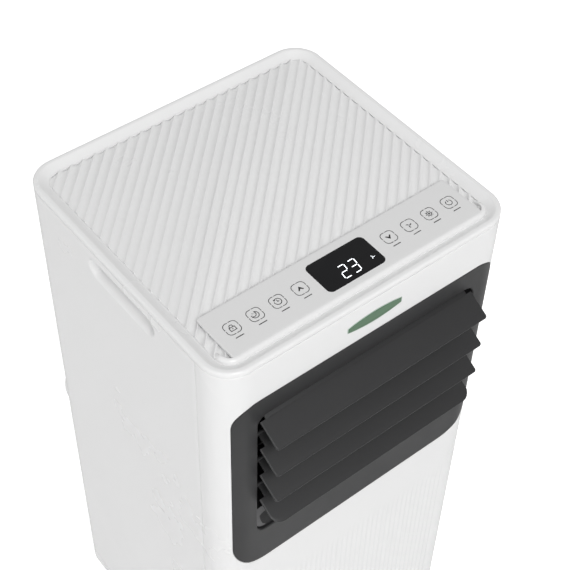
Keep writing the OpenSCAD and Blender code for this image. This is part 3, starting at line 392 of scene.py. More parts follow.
def mixed(tree, factor, a, b):
    """A colour mix of two colours or colour sockets by a factor socket."""
    node = tree.nodes.new("ShaderNodeMix")
    node.data_type = "RGBA"
    tree.links.new(factor, node.inputs["Factor"])
    for label, value in (("A", a), ("B", b)):
        socket = [i for i in node.inputs if i.name == label and i.type == "RGBA"][0]
        if isinstance(value, tuple):
            socket.default_value = value
        else:
            tree.links.new(value, socket)
    return [o for o in node.outputs if o.type == "RGBA"][0]


def finish(name, colour, shade, rough, bump=0.04, coarse=700.0, fine=2600.0, metal=0.0, specular=0.5,
           coat=0.0, dust=0.25, dust_low=0.05, dust_fade=0.06, bump_distance=0.0004):
    """A moulded or worked surface: colour varied towards a shade by broad mottle, settled dust, and grain
    as bump. The mottle and the dust also change the roughness."""
    material = bpy.data.materials.new(name)
    material.use_nodes = True
    tree = material.node_tree
    shader = tree.nodes["Principled BSDF"]
    place = tree.nodes.new("ShaderNodeTexCoord").outputs["Object"]
    grain = add_group(tree, GRAIN, place, Coarse=coarse, Fine=fine)
    dusty = add_group(tree, DUST, place, Low_level=dust_low, Fade=dust_fade, On_top=dust)
    base = mixed(tree, grain.outputs["Mottle"], colour + (1.0,), shade + (1.0,))
    veil = math_node(tree, "MULTIPLY", dusty.outputs["Mask"], DUST_VEIL)
    tree.links.new(mixed(tree, veil, base, DUST_TINT), shader.inputs["Base Color"])
    varied = remap(tree, grain.outputs["Mottle"], 0.0, 1.0, rough - MOTTLE_ROUGHNESS, rough + MOTTLE_ROUGHNESS)
    dulled = math_node(tree, "MULTIPLY", dusty.outputs["Mask"], DUST_ROUGHNESS)
    worn = math_node(tree, "ADD", varied, dulled, clamp=True)
    tree.links.new(worn, shader.inputs["Roughness"])
    relief = tree.nodes.new("ShaderNodeBump")
    relief.inputs["Strength"].default_value = bump
    relief.inputs["Distance"].default_value = bump_distance
    tree.links.new(grain.outputs["Height"], relief.inputs["Height"])
    tree.links.new(relief.outputs["Normal"], shader.inputs["Normal"])
    shader.inputs["Metallic"].default_value = metal
    shader.inputs["Specular IOR Level"].default_value = specular
    shader.inputs["Coat Weight"].default_value = coat
    shader.inputs["Coat Roughness"].default_value = COAT_ROUGHNESS
    return material


def lit_print(name, colour, strength):
    """Lit segments behind a window: an emission varied a little by a fine noise."""
    material = bpy.data.materials.new(name)
    material.use_nodes = True
    tree = material.node_tree
    shader = tree.nodes["Principled BSDF"]
    place = tree.nodes.new("ShaderNodeTexCoord").outputs["Object"]
    grain = add_group(tree, GRAIN, place, Coarse=900.0, Fine=3000.0)
    dim = tuple(c * 0.93 for c in colour)
    for label in ("Emission Color", "Base Color"):
        lit = mixed(tree, grain.outputs["Mottle"], colour + (1.0,), dim + (1.0,))
        tree.links.new(lit, shader.inputs[label])
    shader.inputs["Emission Strength"].default_value = strength
    return material


def grey(level, blue=0.0):
    """A grey of one level, whose blue may differ by a little."""
    return (level, level, level + blue)


shell_white = finish("satin white shell", grey(0.835), grey(0.825), 0.25, bump=0.003, dust_low=-0.2)
deck_white = finish("satin white deck", grey(0.82), grey(0.815), 0.30, bump=0.003)
panel_white = finish("smooth panel", grey(0.745), grey(0.738), 0.30, bump=0.003, dust=0.15)
key_grey = finish("key print", grey(0.018), grey(0.025), 0.45, bump=0.02, dust=0.1)
window_black = finish("gloss window", grey(0.005, 0.001), grey(0.007, 0.001), 0.10, bump=0.004, dust=0.05,
                      specular=0.25)
digit_light = lit_print("lit segments", (0.92, 0.96, 1.0), 1.6)
outlet_dark = finish("matt dark outlet", grey(0.021, 0.001), grey(0.018, 0.001), 0.48, bump=0.09, dust=0.04,
                     specular=0.42)
blade_dark = finish("matt dark louvre", grey(0.023, 0.001), grey(0.0205, 0.001), 0.46, bump=0.09, dust=0.04,
                    specular=0.45)
badge_green = finish("badge green", (0.085, 0.18, 0.098), (0.07, 0.155, 0.082), 0.32, bump=0.03, dust=0.0)
badge_line = finish("badge edge", (0.52, 0.60, 0.54), (0.44, 0.53, 0.47), 0.3, bump=0.02, metal=0.4, dust=0.0)
castor_dark = finish("castor moulding", grey(0.030, 0.002), grey(0.024, 0.002), 0.5, bump=0.08, dust_low=0.0)
tread_grey = finish("castor tread", grey(0.11, 0.005), grey(0.09, 0.005), 0.62, bump=0.12, dust_low=-0.01)
sill_grey = finish("satin sill", grey(0.13, 0.003), grey(0.11, 0.003), 0.24, bump=0.03, dust=0.05)
clip_light = finish("natural nylon", grey(0.66, -0.02), grey(0.6, -0.02), 0.45)
rubber_black = finish("soft rubber", grey(0.022), grey(0.03), 0.66, bump=0.12)
inner_grey = finish("inner moulding", (0.34, 0.35, 0.36), (0.3, 0.31, 0.32), 0.5)
steel_grey = finish("pressed steel", (0.42, 0.43, 0.44), (0.36, 0.37, 0.38), 0.34, metal=1.0, coarse=300.0)
fin_metal = finish("coil fins", (0.62, 0.63, 0.65), (0.55, 0.56, 0.58), 0.35, metal=1.0)
copper = finish("copper tube", (0.60, 0.29, 0.17), (0.5, 0.23, 0.13), 0.3, metal=1.0)
enamel_black = finish("black enamel", grey(0.016, 0.001), grey(0.022, 0.001), 0.3, coat=0.4)
board_green = finish("lacquered board", (0.03, 0.12, 0.07), (0.02, 0.09, 0.05), 0.35)
net_dark = finish("filter net", grey(0.03, 0.002), grey(0.045, 0.003), 0.75, bump=0.3, coarse=500.0,
                  bump_distance=0.001)


# ---- shells ----

FRONT_FILLET = 0.6
RIB_ZONE = 325.0
RIB_JOIN = RIB_ZONE + 6
RIB_FADE = 32.0
RIB_PITCH = 7.1
RIB_DEPTH = 0.45

BEZEL_TURN = math.asin(((bezel_high[0] - bezel_low[0]) / 2 - FLAT_X) / CORNER_R)
BEZEL_S = FLAT_X + CORNER_R * BEZEL_TURN
BEZEL_TOP_R = 26.0
BEZEL_LOW_R = 38.0
BEZEL_WALL = 3.1
BEZEL_INNER_R = 1.4
BEZEL_OUTER_R = 0.7
OUTLET_WALL = 2.4
OUTLET_DROP = 75.6
OUTLET_H = 184.4
OUTLET_HALF_W = frame_high[0] - OUTLET_WALL
OUTLET_HIGH = BODY_H - OUTLET_DROP
OUTLET_LOW = OUTLET_HIGH - OUTLET_H
OUTLET_R = 12.0


def edge_rows(radius, thickness, steps=4):
    """Depth rows for an edge: from the face, down a quarter round, then square to the back."""
    return fillet(radius, steps) + [(0.0, thickness)]


def skin_ring(inner, outer, steps, middle_s=None):
    """Ring of skin from the inner rows to the outer ones, with even rows level with the skin between them.

    A row is an outline and its depth. The outline's first number is the distance along the plan, or
    the distance back from middle_s."""
    first, last = inner[-1][0], outer[0][0]
    between = [(first + k * (last - first), 0.0) for k in np.linspace(0, 1, steps + 1)[1:-1]]
    rows = inner + between + outer
    flat = np.stack([r[0] for r in rows])
    depth = np.stack([np.broadcast_to(r[1], len(first)) for r in rows])
    s = flat[..., 0] if middle_s is None else middle_s - flat[..., 0]
    return loop_solid(on_skin(s, flat[..., 1], depth))


def front_shell_solid():
    """Front shell: a ring of skin from the bezel's outline out to a rectangle, and a ribbed skin under it.

    A rib is a raised cosine of its pitch; its depth fades in below the zone's top by a smooth step."""
    low, high = RIB_JOIN, SHELL_TOP
    corners = [(SEAM_S, low), (SEAM_S, high), (-SEAM_S, high), (-SEAM_S, low)]
    hole, outward = rounded_box(BEZEL_S, bezel_low[2], bezel_high[2], BEZEL_LOW_R, BEZEL_TOP_R, 16, 6.0,
                                corners)
    inner = [(hole + outward * (SEAM_GAP + d), depth) for d, depth in edge_rows(FRONT_FILLET, WALL)[::-1]]

    def outer_row(d, depth):
        """A row at distance d inside the sides and top; the bottom edge stays, level with the skin."""
        row = cast(hole, outward, -SEAM_S + d, SEAM_S - d, low, high - d)
        joins = row[:, 1] < low + 0.001
        return row, np.where(joins & (depth < WALL), 0.0, depth)

    outer = [outer_row(d, depth) for d, depth in edge_rows(FRONT_FILLET, WALL)]
    ring = skin_ring(inner, outer, 17)

    count = int(FLAT_X / RIB_PITCH)
    per_rib = 10
    half = count * RIB_PITCH
    plain = np.linspace(half, SEAM_S - FRONT_FILLET, 26)[1:]
    s = np.concatenate([-plain[::-1], np.linspace(-half, half, 2 * count * per_rib + 1), plain])
    edge = fillet(FRONT_FILLET)
    s_edge = np.array([SEAM_S - d for d, _ in edge[1:]])
    s = np.concatenate([-s_edge[::-1], s, s_edge])
    s_depth = np.concatenate([[d for _, d in edge[:0:-1]], np.zeros(len(s) - 2 * len(s_edge)),
                              [d for _, d in edge[1:]]])
    z = np.concatenate([[SHELL_LOW + d for d, _ in edge[::-1]],
                        np.linspace(SHELL_LOW + 4, RIB_ZONE - RIB_FADE, 8),
                        np.linspace(RIB_ZONE - RIB_FADE, RIB_ZONE, 14)[1:], [low]])
    z_depth = np.concatenate([[d for _, d in edge[::-1]], np.zeros(len(z) - len(edge))])
    fade = smooth_step((RIB_ZONE - z) / RIB_FADE)
    rib = RIB_DEPTH * 0.5 * (1 - np.cos(2 * math.pi * s / RIB_PITCH)) * (np.abs(s) <= half + 1e-6)
    skin = fade[:, None] * rib[None] + np.maximum(z_depth[:, None], s_depth[None])
    ribbed = slab(on_skin(s[None], z[:, None], skin), on_skin(s[None], z[:, None], WALL))
    return joined(ring, ribbed)


def outlet_bezel_solid():
    """Dark bezel: a ring of skin between the opening's outline and its own, rounded at both edges."""
    opening, outward = rounded_box(OUTLET_HALF_W, OUTLET_LOW, OUTLET_HIGH, OUTLET_R, OUTLET_R, 14, 6.0)
    inner = [(opening + outward * d, depth) for d, depth in edge_rows(BEZEL_INNER_R, BEZEL_WALL, 6)[::-1]]
    rim, rim_out = rounded_box(BEZEL_S, bezel_low[2], bezel_high[2], BEZEL_LOW_R, BEZEL_TOP_R, 14, 6.0)
    spread = cast_to_outline(opening, outward, rim, rim_out)
    outer = [(spread[0] - spread[1] * d, depth) for d, depth in edge_rows(BEZEL_OUTER_R, BEZEL_WALL)]
    return skin_ring(inner, outer, 15)


def cast_to_outline(points, outward, rim, rim_out):
    """For each inner point, the rim point as far round between the same corners, and the rim's direction there."""
    def shares(outline):
        """Distance along an outline at each of its points and back at its start."""
        steps = np.linalg.norm(np.roll(outline, -1, 0) - outline, axis=1)
        return np.concatenate([[0], np.cumsum(steps)])

    def straights(directions):
        """The points of each of the four straights, found by their outward direction."""
        return [np.flatnonzero(np.isclose(directions, square, atol=1e-6).all(1))
                for square in ((1, 0), (0, 1), (-1, 0), (0, -1))]

    quarter, rim_quarter = straights(outward), straights(rim_out)
    keys, rim_keys = [0.0], [0.0]
    length, rim_length = shares(points), shares(rim)
    for q, rq in zip(quarter, rim_quarter):
        q, rq = np.sort(q), np.sort(rq)
        keys += [length[q[0]], length[q[-1]]] if q[0] > 0 else [length[q[-1]]]
        rim_keys += [rim_length[rq[0]], rim_length[rq[-1]]] if rq[0] > 0 else [rim_length[rq[-1]]]
    keys, rim_keys = keys[:-1] + [length[-1]], rim_keys[:-1] + [rim_length[-1]]
    at = np.interp(length[:-1], keys, rim_keys)
    closed = np.concatenate([rim, rim[:1]])
    closed_out = np.concatenate([rim_out, rim_out[:1]])
    place = np.stack([np.interp(at, rim_length, closed[:, k]) for k in (0, 1)], -1)
    direction = np.stack([np.interp(at, rim_length, closed_out[:, k]) for k in (0, 1)], -1)
    return place, direction / np.linalg.norm(direction, axis=1, keepdims=True)


BACK_START = FLAT_X + 2 * ARC + 2 * FLAT_Y
BACK_MID = BACK_START + FLAT_X
CORNER_JOIN = BACK_START + 3.5
HANDLE_LEN = 102.0
HANDLE_H = 24.0
HANDLE_DEPTH = 12.0
HANDLE_Y = -8.0
HANDLE_Z = BODY_H - 26.0
HANDLE_ROUNDS = (4.0, 12.0, 12.0)
FILTER_GAP = 0.4
FILTER_HOLE_R = 8.4
COLLAR_HOLE_R = 75.4
HOLE_EDGE_R = 0.8


def handle_depth(s, z):
    """Depth of the carry handle: a stadium whose depth is a smooth step of the distance inside its outline.

    The step is short under the top edge, longer over the floor and longest at the two ends."""
    r = HANDLE_H / 2
    along = s - (FLAT_X + ARC) - FLAT_Y - HANDLE_Y
    past = np.maximum(np.abs(along) - (HANDLE_LEN / 2 - r), 0)
    rise = z - HANDLE_Z
    reach = np.hypot(past, rise)
    ends = (past / np.maximum(reach, 1e-6)) ** 2
    width = HANDLE_ROUNDS[2] * ends + np.where(rise > 0, HANDLE_ROUNDS[0], HANDLE_ROUNDS[1]) * (1 - ends)
    return HANDLE_DEPTH * smooth_step((r - reach) / width)


def side_solid(side):
    """One side of the rear shell, from its front seam round the rear corner, with its handle."""
    edge = fillet(FRONT_FILLET)
    front = SEAM_S + SEAM_GAP
    middle = FLAT_X + ARC + FLAT_Y + HANDLE_Y
    half = HANDLE_LEN / 2 + 2
    s = np.concatenate([[front + d for d, _ in edge[::-1]], np.linspace(front + 6, middle - half, 8),
                        np.linspace(middle - half, middle + half, 61)[1:],
                        np.linspace(middle + half, BACK_START - ARC, 9)[1:],
                        np.linspace(BACK_START - ARC, BACK_START, 17)[1:], [CORNER_JOIN]])
    s_depth = np.concatenate([[d for _, d in edge[::-1]], np.zeros(len(s) - len(edge))])
    low, high = HANDLE_Z - HANDLE_H / 2 - 1, HANDLE_Z + HANDLE_H / 2 + 0.5
    z = np.concatenate([[SHELL_LOW + d for d, _ in edge[::-1]], np.linspace(SHELL_LOW + 5, low, 20),
                        np.linspace(low, high - 5, 27)[1:], np.linspace(high - 5, high, 17)[1:],
                        [SHELL_TOP - d for d, _ in edge]])
    z_depth = np.concatenate([[d for _, d in edge[::-1]], np.zeros(len(z) - 2 * len(edge)),
                              [d for _, d in edge]])
    scoop = handle_depth(s[None], z[:, None])
    skin = scoop + np.maximum(z_depth[:, None], s_depth[None])
    return slab(on_skin(side * s[None], z[:, None], skin), on_skin(side * s[None], z[:, None], scoop + WALL))


def back_patch(hole, outward, west, east, low, high, round_top=0.0, round_low=0.0):
    """A part of the back: a ring of skin from an opening's outline to a rectangle.

    The opening's edge is rounded, and so is the top or the bottom edge where round_top or round_low is 1."""
    inner = [(hole + outward * d, depth) for d, depth in edge_rows(HOLE_EDGE_R, WALL)[::-1]]
    outer = []
    for d, depth in edge_rows(FRONT_FILLET, WALL):
        row = cast(hole, outward, west, east, low + d * round_low, high - d * round_top)
        on_top = (row[:, 1] > high - d - 0.001) & (round_top > 0)
        rounded = on_top | ((row[:, 1] < low + d + 0.001) & (round_low > 0))
        outer.append((row, np.where(rounded | (depth >= WALL), depth, 0.0)))
    return skin_ring(inner, outer, 4, BACK_MID)


def back_box(low_mm, high_mm, bounds):
    """A back patch round a filter panel; bounds gives the patch's west, east, low and high edges."""
    west, east, low, high = bounds[:4]
    corners = [(east, low), (east, high), (west, high), (west, low)]
    hole, outward = rounded_box((high_mm[0] - low_mm[0]) / 2 + FILTER_GAP, low_mm[2] - FILTER_GAP,
                                high_mm[2] + FILTER_GAP, FILTER_HOLE_R, FILTER_HOLE_R, 8, 12.0, corners)
    return back_patch(hole, outward, *bounds)


def rear_shell_solid():
    """Rear shell: two sides with handles, and a back in three parts round the filters and the exhaust."""
    half = FLAT_X - 3.5
    upper = box_mm("upper_filter")
    lower = box_mm("lower_filter")
    collar = box_mm("hose_collar")
    first, second = lower[1][2] + 6, upper[0][2] - 13
    mid_x, mid_z = (collar[0][0] + collar[1][0]) / 2, (collar[0][2] + collar[1][2]) / 2
    aims = [math.atan2(z - mid_z, x - mid_x) for x in (-half, half) for z in (first, second)]
    angles = np.mod(np.concatenate([np.linspace(0, 2 * math.pi, 49), aims]), 2 * math.pi)
    angles = np.unique(np.round(angles, 9))
    round_out = np.stack([np.cos(angles), np.sin(angles)], -1)
    circle = np.array([mid_x, mid_z]) + COLLAR_HOLE_R * round_out
    return joined(side_solid(1), side_solid(-1),
                  back_box(*upper, (-half, half, second, SHELL_TOP, 1.0, 0.0)),
                  back_patch(circle, round_out, -half, half, first, second),
                  back_box(*lower, (-half, half, SHELL_LOW, first, 0.0, 1.0)))


piece("front_skin", front_shell_solid(), "cabinet", shell_white, ["front_shell"])
piece("rear_skin", rear_shell_solid(), "cabinet", shell_white, ["rear_shell"])
piece("bezel_skin", outlet_bezel_solid(), "cabinet", outlet_dark, ["outlet_bezel"])


# ---- top ----

RIM_EDGE_R = 2.4
RIM_FLAT = 5.4
COVE_W = 8.2
COVE_DEPTH = 5.0
COVE_SAG = 0.35
TRAY_DEPTH = 9.0
TRAY_WALL = 2.0
DECK_GAP = 0.55


def top_cover_solid():
    """Top cover: a skirt, a quarter-round edge, a flat rim, a cove that slopes in and sags a little, a tray."""
    top = BODY_H
    skirt = cover_high[2] - 6.0
    share = np.linspace(0, 1, 9)
    cove = list(zip(RIM_FLAT + COVE_W * share, top - COVE_DEPTH * share - 4 * COVE_SAG * share * (1 - share)))
    lip_round = [(RIM_FLAT - 0.9, top), (RIM_FLAT - 0.35, top - 0.05), (RIM_FLAT + 0.05, top - 0.3)]
    edge = arc_points(RIM_EDGE_R, top - RIM_EDGE_R, RIM_EDGE_R, 180.0, 90.0, 8)
    deck_edge = (BODY_W - (deck_high[0] - deck_low[0])) / 2 - DECK_GAP
    tray_edge, tray_top, tray_under = CORNER_R - 4, top - TRAY_DEPTH, top - TRAY_DEPTH - TRAY_WALL
    skirt_edge = [(WALL, skirt), (0.4, skirt), (0.12, skirt + 0.12), (0.0, skirt + 0.4)]
    profile = skirt_edge + edge + lip_round + cove[1:]
    profile += [(deck_edge - 0.3, cove[-1][1]), (deck_edge, cove[-1][1] - 0.3), (deck_edge, tray_top),
                (tray_edge, tray_top), (tray_edge, tray_under), (WALL, tray_under)]
    return swept_round(profile, 16, close=True)


FLUTE_PITCH = 9.2
FLUTE_DEPTH = 2.2
DIP_DEPTH = 3.0
DIP_REACH = 3.4
DECK_SHIFT = -0.5
RIDGE_W = 0.5
DECK_R = 14.0
RIDGE_Z = BODY_H - 2.8
deck_mid = (deck_low + deck_high) / 2 + DECK_SHIFT * np.array([1, 1, 0])
DECK_HALF = (deck_high[:2] - deck_low[:2]) / 2
DECK_EDGE_R = 0.8
DECK_EDGE_DROP = 0.5

panel_mid = (panel_low + panel_high) / 2
PANEL_HALF_W = (panel_high[0] - panel_low[0]) / 2
PANEL_HALF_D = (panel_high[1] - panel_low[1]) / 2
window_mid = (window_low + window_high) / 2
WINDOW_HALF_W = (window_high[0] - window_low[0]) / 2 + 0.05
WINDOW_HALF_D = (window_high[1] - window_low[1]) / 2 + 0.05
WINDOW_R = 5.5
WINDOW_Z = BODY_H + 0.12


def deck_reach(x, y):
    """Signed distance outside the deck's rounded outline, negative inside."""
    qx = np.abs(x - deck_mid[0]) - (DECK_HALF[0] - DECK_R)
    qy = np.abs(y - deck_mid[1]) - (DECK_HALF[1] - DECK_R)
    outside = np.hypot(np.maximum(qx, 0), np.maximum(qy, 0))
    return outside + np.minimum(np.maximum(qx, qy), 0) - DECK_R


def flute_depth(v):
    """Depth of the fluting at distance v across it: a circular hollow between narrow level ridges."""
    half = (FLUTE_PITCH - RIDGE_W) / 2
    r = (half ** 2 + FLUTE_DEPTH ** 2) / (2 * FLUTE_DEPTH)
    u = np.mod(v, FLUTE_PITCH) - FLUTE_PITCH / 2
    hollow = np.sqrt(np.maximum(r * r - u * u, 0)) - (r - FLUTE_DEPTH)
    return np.maximum(hollow, 0)


def deck_solid():
    """Fluted deck: lines along the 45 degree flutes, each cut to the outline by halving, with rounded ends.

    The hollows sink further by a smooth step beside the panel's rear edge and the deck's own."""
    diagonal = math.hypot(*DECK_HALF)
    share = np.concatenate([np.linspace(0, RIDGE_W / 2, 3)[:-1],
                            np.linspace(RIDGE_W / 2, FLUTE_PITCH - RIDGE_W / 2, 13),
                            np.linspace(FLUTE_PITCH - RIDGE_W / 2, FLUTE_PITCH, 3)[1:-1]])
    count = int(diagonal / FLUTE_PITCH) + 1
    v = (np.arange(-count, count)[:, None] * FLUTE_PITCH + share[None]).ravel()

    def place(u):
        """Plan point at u along a flute and v across it."""
        return deck_mid[0] + (u + v) / math.sqrt(2), deck_mid[1] + (u - v) / math.sqrt(2)

    low, high = np.full_like(v, -diagonal), np.full_like(v, diagonal)
    for _ in range(60):
        a, b = low + (high - low) / 3, high - (high - low) / 3
        nearer = deck_reach(*place(a)) < deck_reach(*place(b))
        low, high = np.where(nearer, low, a), np.where(nearer, b, high)
    inner = (low + high) / 2
    keep = deck_reach(*place(inner)) < -0.02
    ends = []
    for sign in (-1, 1):
        near, far = inner.copy(), np.full_like(v, sign * 2 * diagonal)
        for _ in range(50):
            mid = (near + far) / 2
            inside = deck_reach(*place(mid)) < 0
            near, far = np.where(inside, mid, near), np.where(inside, far, mid)
        ends.append(near)
    v, start, end = v[keep], ends[0][keep], ends[1][keep]
    cut = np.minimum(DECK_EDGE_R, (end - start) / 2.1)
    turns = np.linspace(0, math.pi / 2, 5)
    at_panel = math.sqrt(2) * (panel_high[1] - 0.5 - deck_mid[1]) + v
    near = [at_panel + math.sqrt(2) * DIP_REACH * k / 6 for k in range(7)]
    far = [end - math.sqrt(2) * DIP_REACH * k / 4 for k in (4, 3, 2, 1)]
    low_end, high_end = start + cut, end - cut
    inner = [np.clip(k, low_end, high_end) for k in near + far]
    inner = list(np.sort(np.stack(inner), axis=0))
    along = ([start + cut * (1 - math.cos(t)) for t in turns] + inner
             + [end - cut * (1 - math.cos(t)) for t in turns[::-1]])
    end_drop = [DECK_EDGE_DROP * (1 - math.sin(t)) for t in turns]
    drop = end_drop + [0.0] * len(inner) + end_drop[::-1]
    u = np.stack(along, -1)
    x, y = deck_mid[0] + (u + v[:, None]) / math.sqrt(2), deck_mid[1] + (u - v[:, None]) / math.sqrt(2)
    hollow = flute_depth(v)[:, None]
    behind = y - (panel_high[1] - 0.5)
    dip = smooth_step(1 - behind / DIP_REACH) * smooth_step((PANEL_HALF_W + 0.5 - np.abs(x)) / 2)
    back_edge = deck_mid[1] + DECK_HALF[1] - y
    dip = np.maximum(dip, 0.5 * smooth_step(1 - back_edge / DIP_REACH))
    z = RIDGE_Z - hollow - np.array(drop)[None] - DIP_DEPTH * dip * np.minimum(hollow / FLUTE_DEPTH, 1.0)
    top = np.stack([x, y, z], -1)
    under = np.stack([x, y, np.full_like(x, deck_low[2] + 0.2)], -1)
    return slab(top, under)


LIP_R = 3.6
LIP_BACK = 118.0
LIP_SINK = 4.6
LIP_SINK_RUN = 13.0


def lip_solid():
    """Rounded lip along the deck's front edge and round its two corners, sinking away at its ends."""
    half_x, half_y = DECK_HALF - DECK_R
    cx, cy = deck_mid[0], deck_mid[1]
    straight_y = np.linspace(-LIP_BACK, cy - half_y, 9)
    left = [(cx - half_x - DECK_R, y, -1.0, 0.0) for y in straight_y]
    turn = np.radians(np.linspace(180, 270, 15))
    left += [(cx - half_x + DECK_R * math.cos(a), cy - half_y + DECK_R * math.sin(a), math.cos(a),
              math.sin(a)) for a in turn[1:]]
    front = [(cx + k * half_x, cy - half_y - DECK_R, 0.0, -1.0) for k in np.linspace(-1, 1, 41)[1:-1]]
    right = [(2 * cx - x, y, -nx, ny) for x, y, nx, ny in left[::-1]]
    path = np.array(left + front + right)
    low = deck_low[2] + 0.3
    section = [(0.0, low)] + [(LIP_R * (1 - math.cos(a)), BODY_H - LIP_R + LIP_R * math.sin(a))
                              for a in np.linspace(0.12, math.pi / 2, 9)]
    section += [(LIP_R + 0.5, BODY_H - 0.04), (LIP_R + 0.75, BODY_H - 0.25), (LIP_R + 0.9, BODY_H - 2.6),
                (LIP_R + 0.9, low)]
    section = np.array(section)
    run = np.minimum(path[:, 1] + LIP_BACK, 0) * -1
    sink = (1 - smooth_step(run / LIP_SINK_RUN)) * LIP_SINK
    inset = section[:, 0][None]
    z = section[:, 1][None] - np.where(section[:, 1][None] > low + 0.01, 1, 0) * sink[:, None]
    x = path[:, 0, None] - path[:, 2, None] * inset
    y = path[:, 1, None] - path[:, 3, None] * inset
    return tube_solid(np.stack([x, y, np.maximum(z, low)], -1))


def plate_rings(half_w, half_d, r, rows, cx, cy, arc_steps=8):
    """Rings of a flat rounded plate: each row is (distance in from the outline, height)."""
    outline, outward = rounded_box(half_w, -half_d, half_d, r, r, arc_steps, 20.0)
    rings = []
    for inset, z in rows:
        flat = outline - outward * inset
        rings.append(np.stack([flat[:, 0] + cx, flat[:, 1] + cy, np.full(len(flat), z)], -1))
    return tube_solid(np.stack(rings))


def panel_solid():
    """Touch panel: a plate with rounded edges that lies on the ridges, and a smaller bed under it."""
    top = BODY_H
    rows = [(0.5, RIDGE_Z + 0.1), (0.0, RIDGE_Z + 0.6), (0.0, top - 0.7), (0.2, top - 0.2), (0.7, top), (2.0, top)]
    plate = plate_rings(PANEL_HALF_W, PANEL_HALF_D, 2.5, rows, panel_mid[0], panel_mid[1])
    bed_rows = [(0.0, deck_low[2] + 0.4), (0.0, RIDGE_Z + 0.2)]
    bed = plate_rings(PANEL_HALF_W - 4, PANEL_HALF_D - 1.6, 3.0, bed_rows, panel_mid[0], panel_mid[1] - 1.4)
    return joined(plate, bed)


def window_solid():
    """Display window: a gloss plate that stands a hair above the panel, with a fine rounded edge."""
    top = WINDOW_Z
    rows = [(0.0, BODY_H - 0.5), (0.0, top - 0.12), (0.06, top - 0.03), (0.2, top), (3.0, top)]
    return plate_rings(WINDOW_HALF_W, WINDOW_HALF_D, WINDOW_R, rows, window_mid[0], window_mid[1])


piece("cover_skin", top_cover_solid(), "cabinet", shell_white, ["top_cover"])
piece("deck_skin", deck_solid(), "cabinet", deck_white, ["ribbed_deck"], sharp=60.0)
piece("deck_lip", lip_solid(), "cabinet", shell_white)
piece("panel_skin", panel_solid(), "cabinet", panel_white, ["control_panel"])
piece("window_skin", window_solid(), "cabinet", window_black, ["display_window"])


# ---- prints on the panel ----

def ribbon(line, width, closed=False, z=BODY_H, thick=0.06):
    """Flat printed line: each point moved half the width to both sides, mitred, as a thin closed solid."""
    line = np.array(line, float)
    if closed:
        ahead, behind = np.roll(line, -1, 0) - line, line - np.roll(line, 1, 0)
    else:
        ahead = np.concatenate([line[1:] - line[:-1], line[-1:] - line[-2:-1]])
        behind = np.concatenate([line[1:2] - line[:1], line[1:] - line[:-1]])
    ahead = ahead / np.linalg.norm(ahead, axis=1, keepdims=True)
    behind = behind / np.linalg.norm(behind, axis=1, keepdims=True)
    along = ahead + behind
    along /= np.maximum(np.linalg.norm(along, axis=1, keepdims=True), 1e-6)
    side = np.stack([-along[:, 1], along[:, 0]], -1)
    square = np.stack([-ahead[:, 1], ahead[:, 0]], -1)
    mitre = 1 / np.maximum(np.abs(np.einsum("ij,ij->i", side, square)), 0.4)
    left, right = (line + side * (k * width / 2 * mitre)[:, None] for k in (1, -1))
    base, top = z - 0.01, z + thick

    def lift(points, height):
        """Plan points at a height."""
        return np.concatenate([points, np.full((len(points), 1), height)], 1)

    section = np.stack([lift(left, base), lift(right, base), lift(right, top), lift(left, top)], 1)
    return loop_solid(section) if closed else tube_solid(section)


def patch(outline, z=BODY_H, thick=0.06):
    """Flat printed area inside an outline, as a thin closed solid."""
    outline = np.array(outline, float)
    low, high = (np.concatenate([outline, np.full((len(outline), 1), z + h)], 1) for h in (-0.01, thick))
    return tube_solid(np.stack([low, high]))


KEY_SIZE = 13.5
KEY_R = 4.0
KEY_LINE = 0.66
KEY_Y = panel_mid[1] + 0.5
KEY_STEP = 24.05
BAR_HALF_W = 4.2
BAR_DROP = 11.0
BAR_LINE = 0.9
KEYS_LEFT = [-49.2 - KEY_STEP * k for k in (3, 2, 1, 0)]
KEYS_RIGHT = [51.4 + KEY_STEP * k for k in (0, 1, 2, 3)]


def key_outline(cx, cy):
    """Rounded square of four open corners: a corner is a quarter circle with a run on each side of it."""
    half, run = KEY_SIZE / 2, KEY_SIZE / 2 - KEY_R - 0.45
    corner = [(half - KEY_R - run, half)] + arc_points(half - KEY_R, half - KEY_R, KEY_R, 90.0, 0.0, 8)
    corner += [(half, half - KEY_R - run)]
    solids = []
    for sx in (-1, 1):
        for sy in (-1, 1):
            solids.append(ribbon([(cx + sx * x, cy + sy * y) for x, y in corner], KEY_LINE))
    return solids


SIGN_SIZE = 1.3
SIGN_LINE = 0.72


def shifted(points, cx, cy, turn=0.0, size=SIGN_SIZE):
    """Points scaled, turned by degrees and moved."""
    c, s = math.cos(math.radians(turn)), math.sin(math.radians(turn))
    return [(cx + size * (x * c - y * s), cy + size * (x * s + y * c)) for x, y in points]


def fan_blades(cx, cy, size):
    """Three swept blades: each a curved leaf from near the hub outwards."""
    leaf = [(0.25, 0.15), (0.6, 0.75), (0.5, 1.5), (0.05, 2.3), (-0.6, 2.6), (-0.45, 1.7), (-0.25, 0.9),
            (-0.1, 0.2)]
    return [patch(shifted(leaf, cx, cy, turn, size)) for turn in (40, 160, 280)]


def glyph_lock(cx, cy):
    """Padlock: an open square, a half circle over it, and a short stroke inside."""
    body = [(-2.1, -2.4), (2.1, -2.4), (2.1, 0.6), (-2.1, 0.6)]
    shackle = [(-1.3, 0.6)] + arc_points(0, 1.3, 1.3, 180, 0, 8) + [(1.3, 0.6)]
    return [ribbon(shifted(body, cx, cy), SIGN_LINE, True), ribbon(shifted(shackle, cx, cy), SIGN_LINE),
            ribbon(shifted([(0, -0.5), (0, -1.4)], cx, cy), SIGN_LINE)]


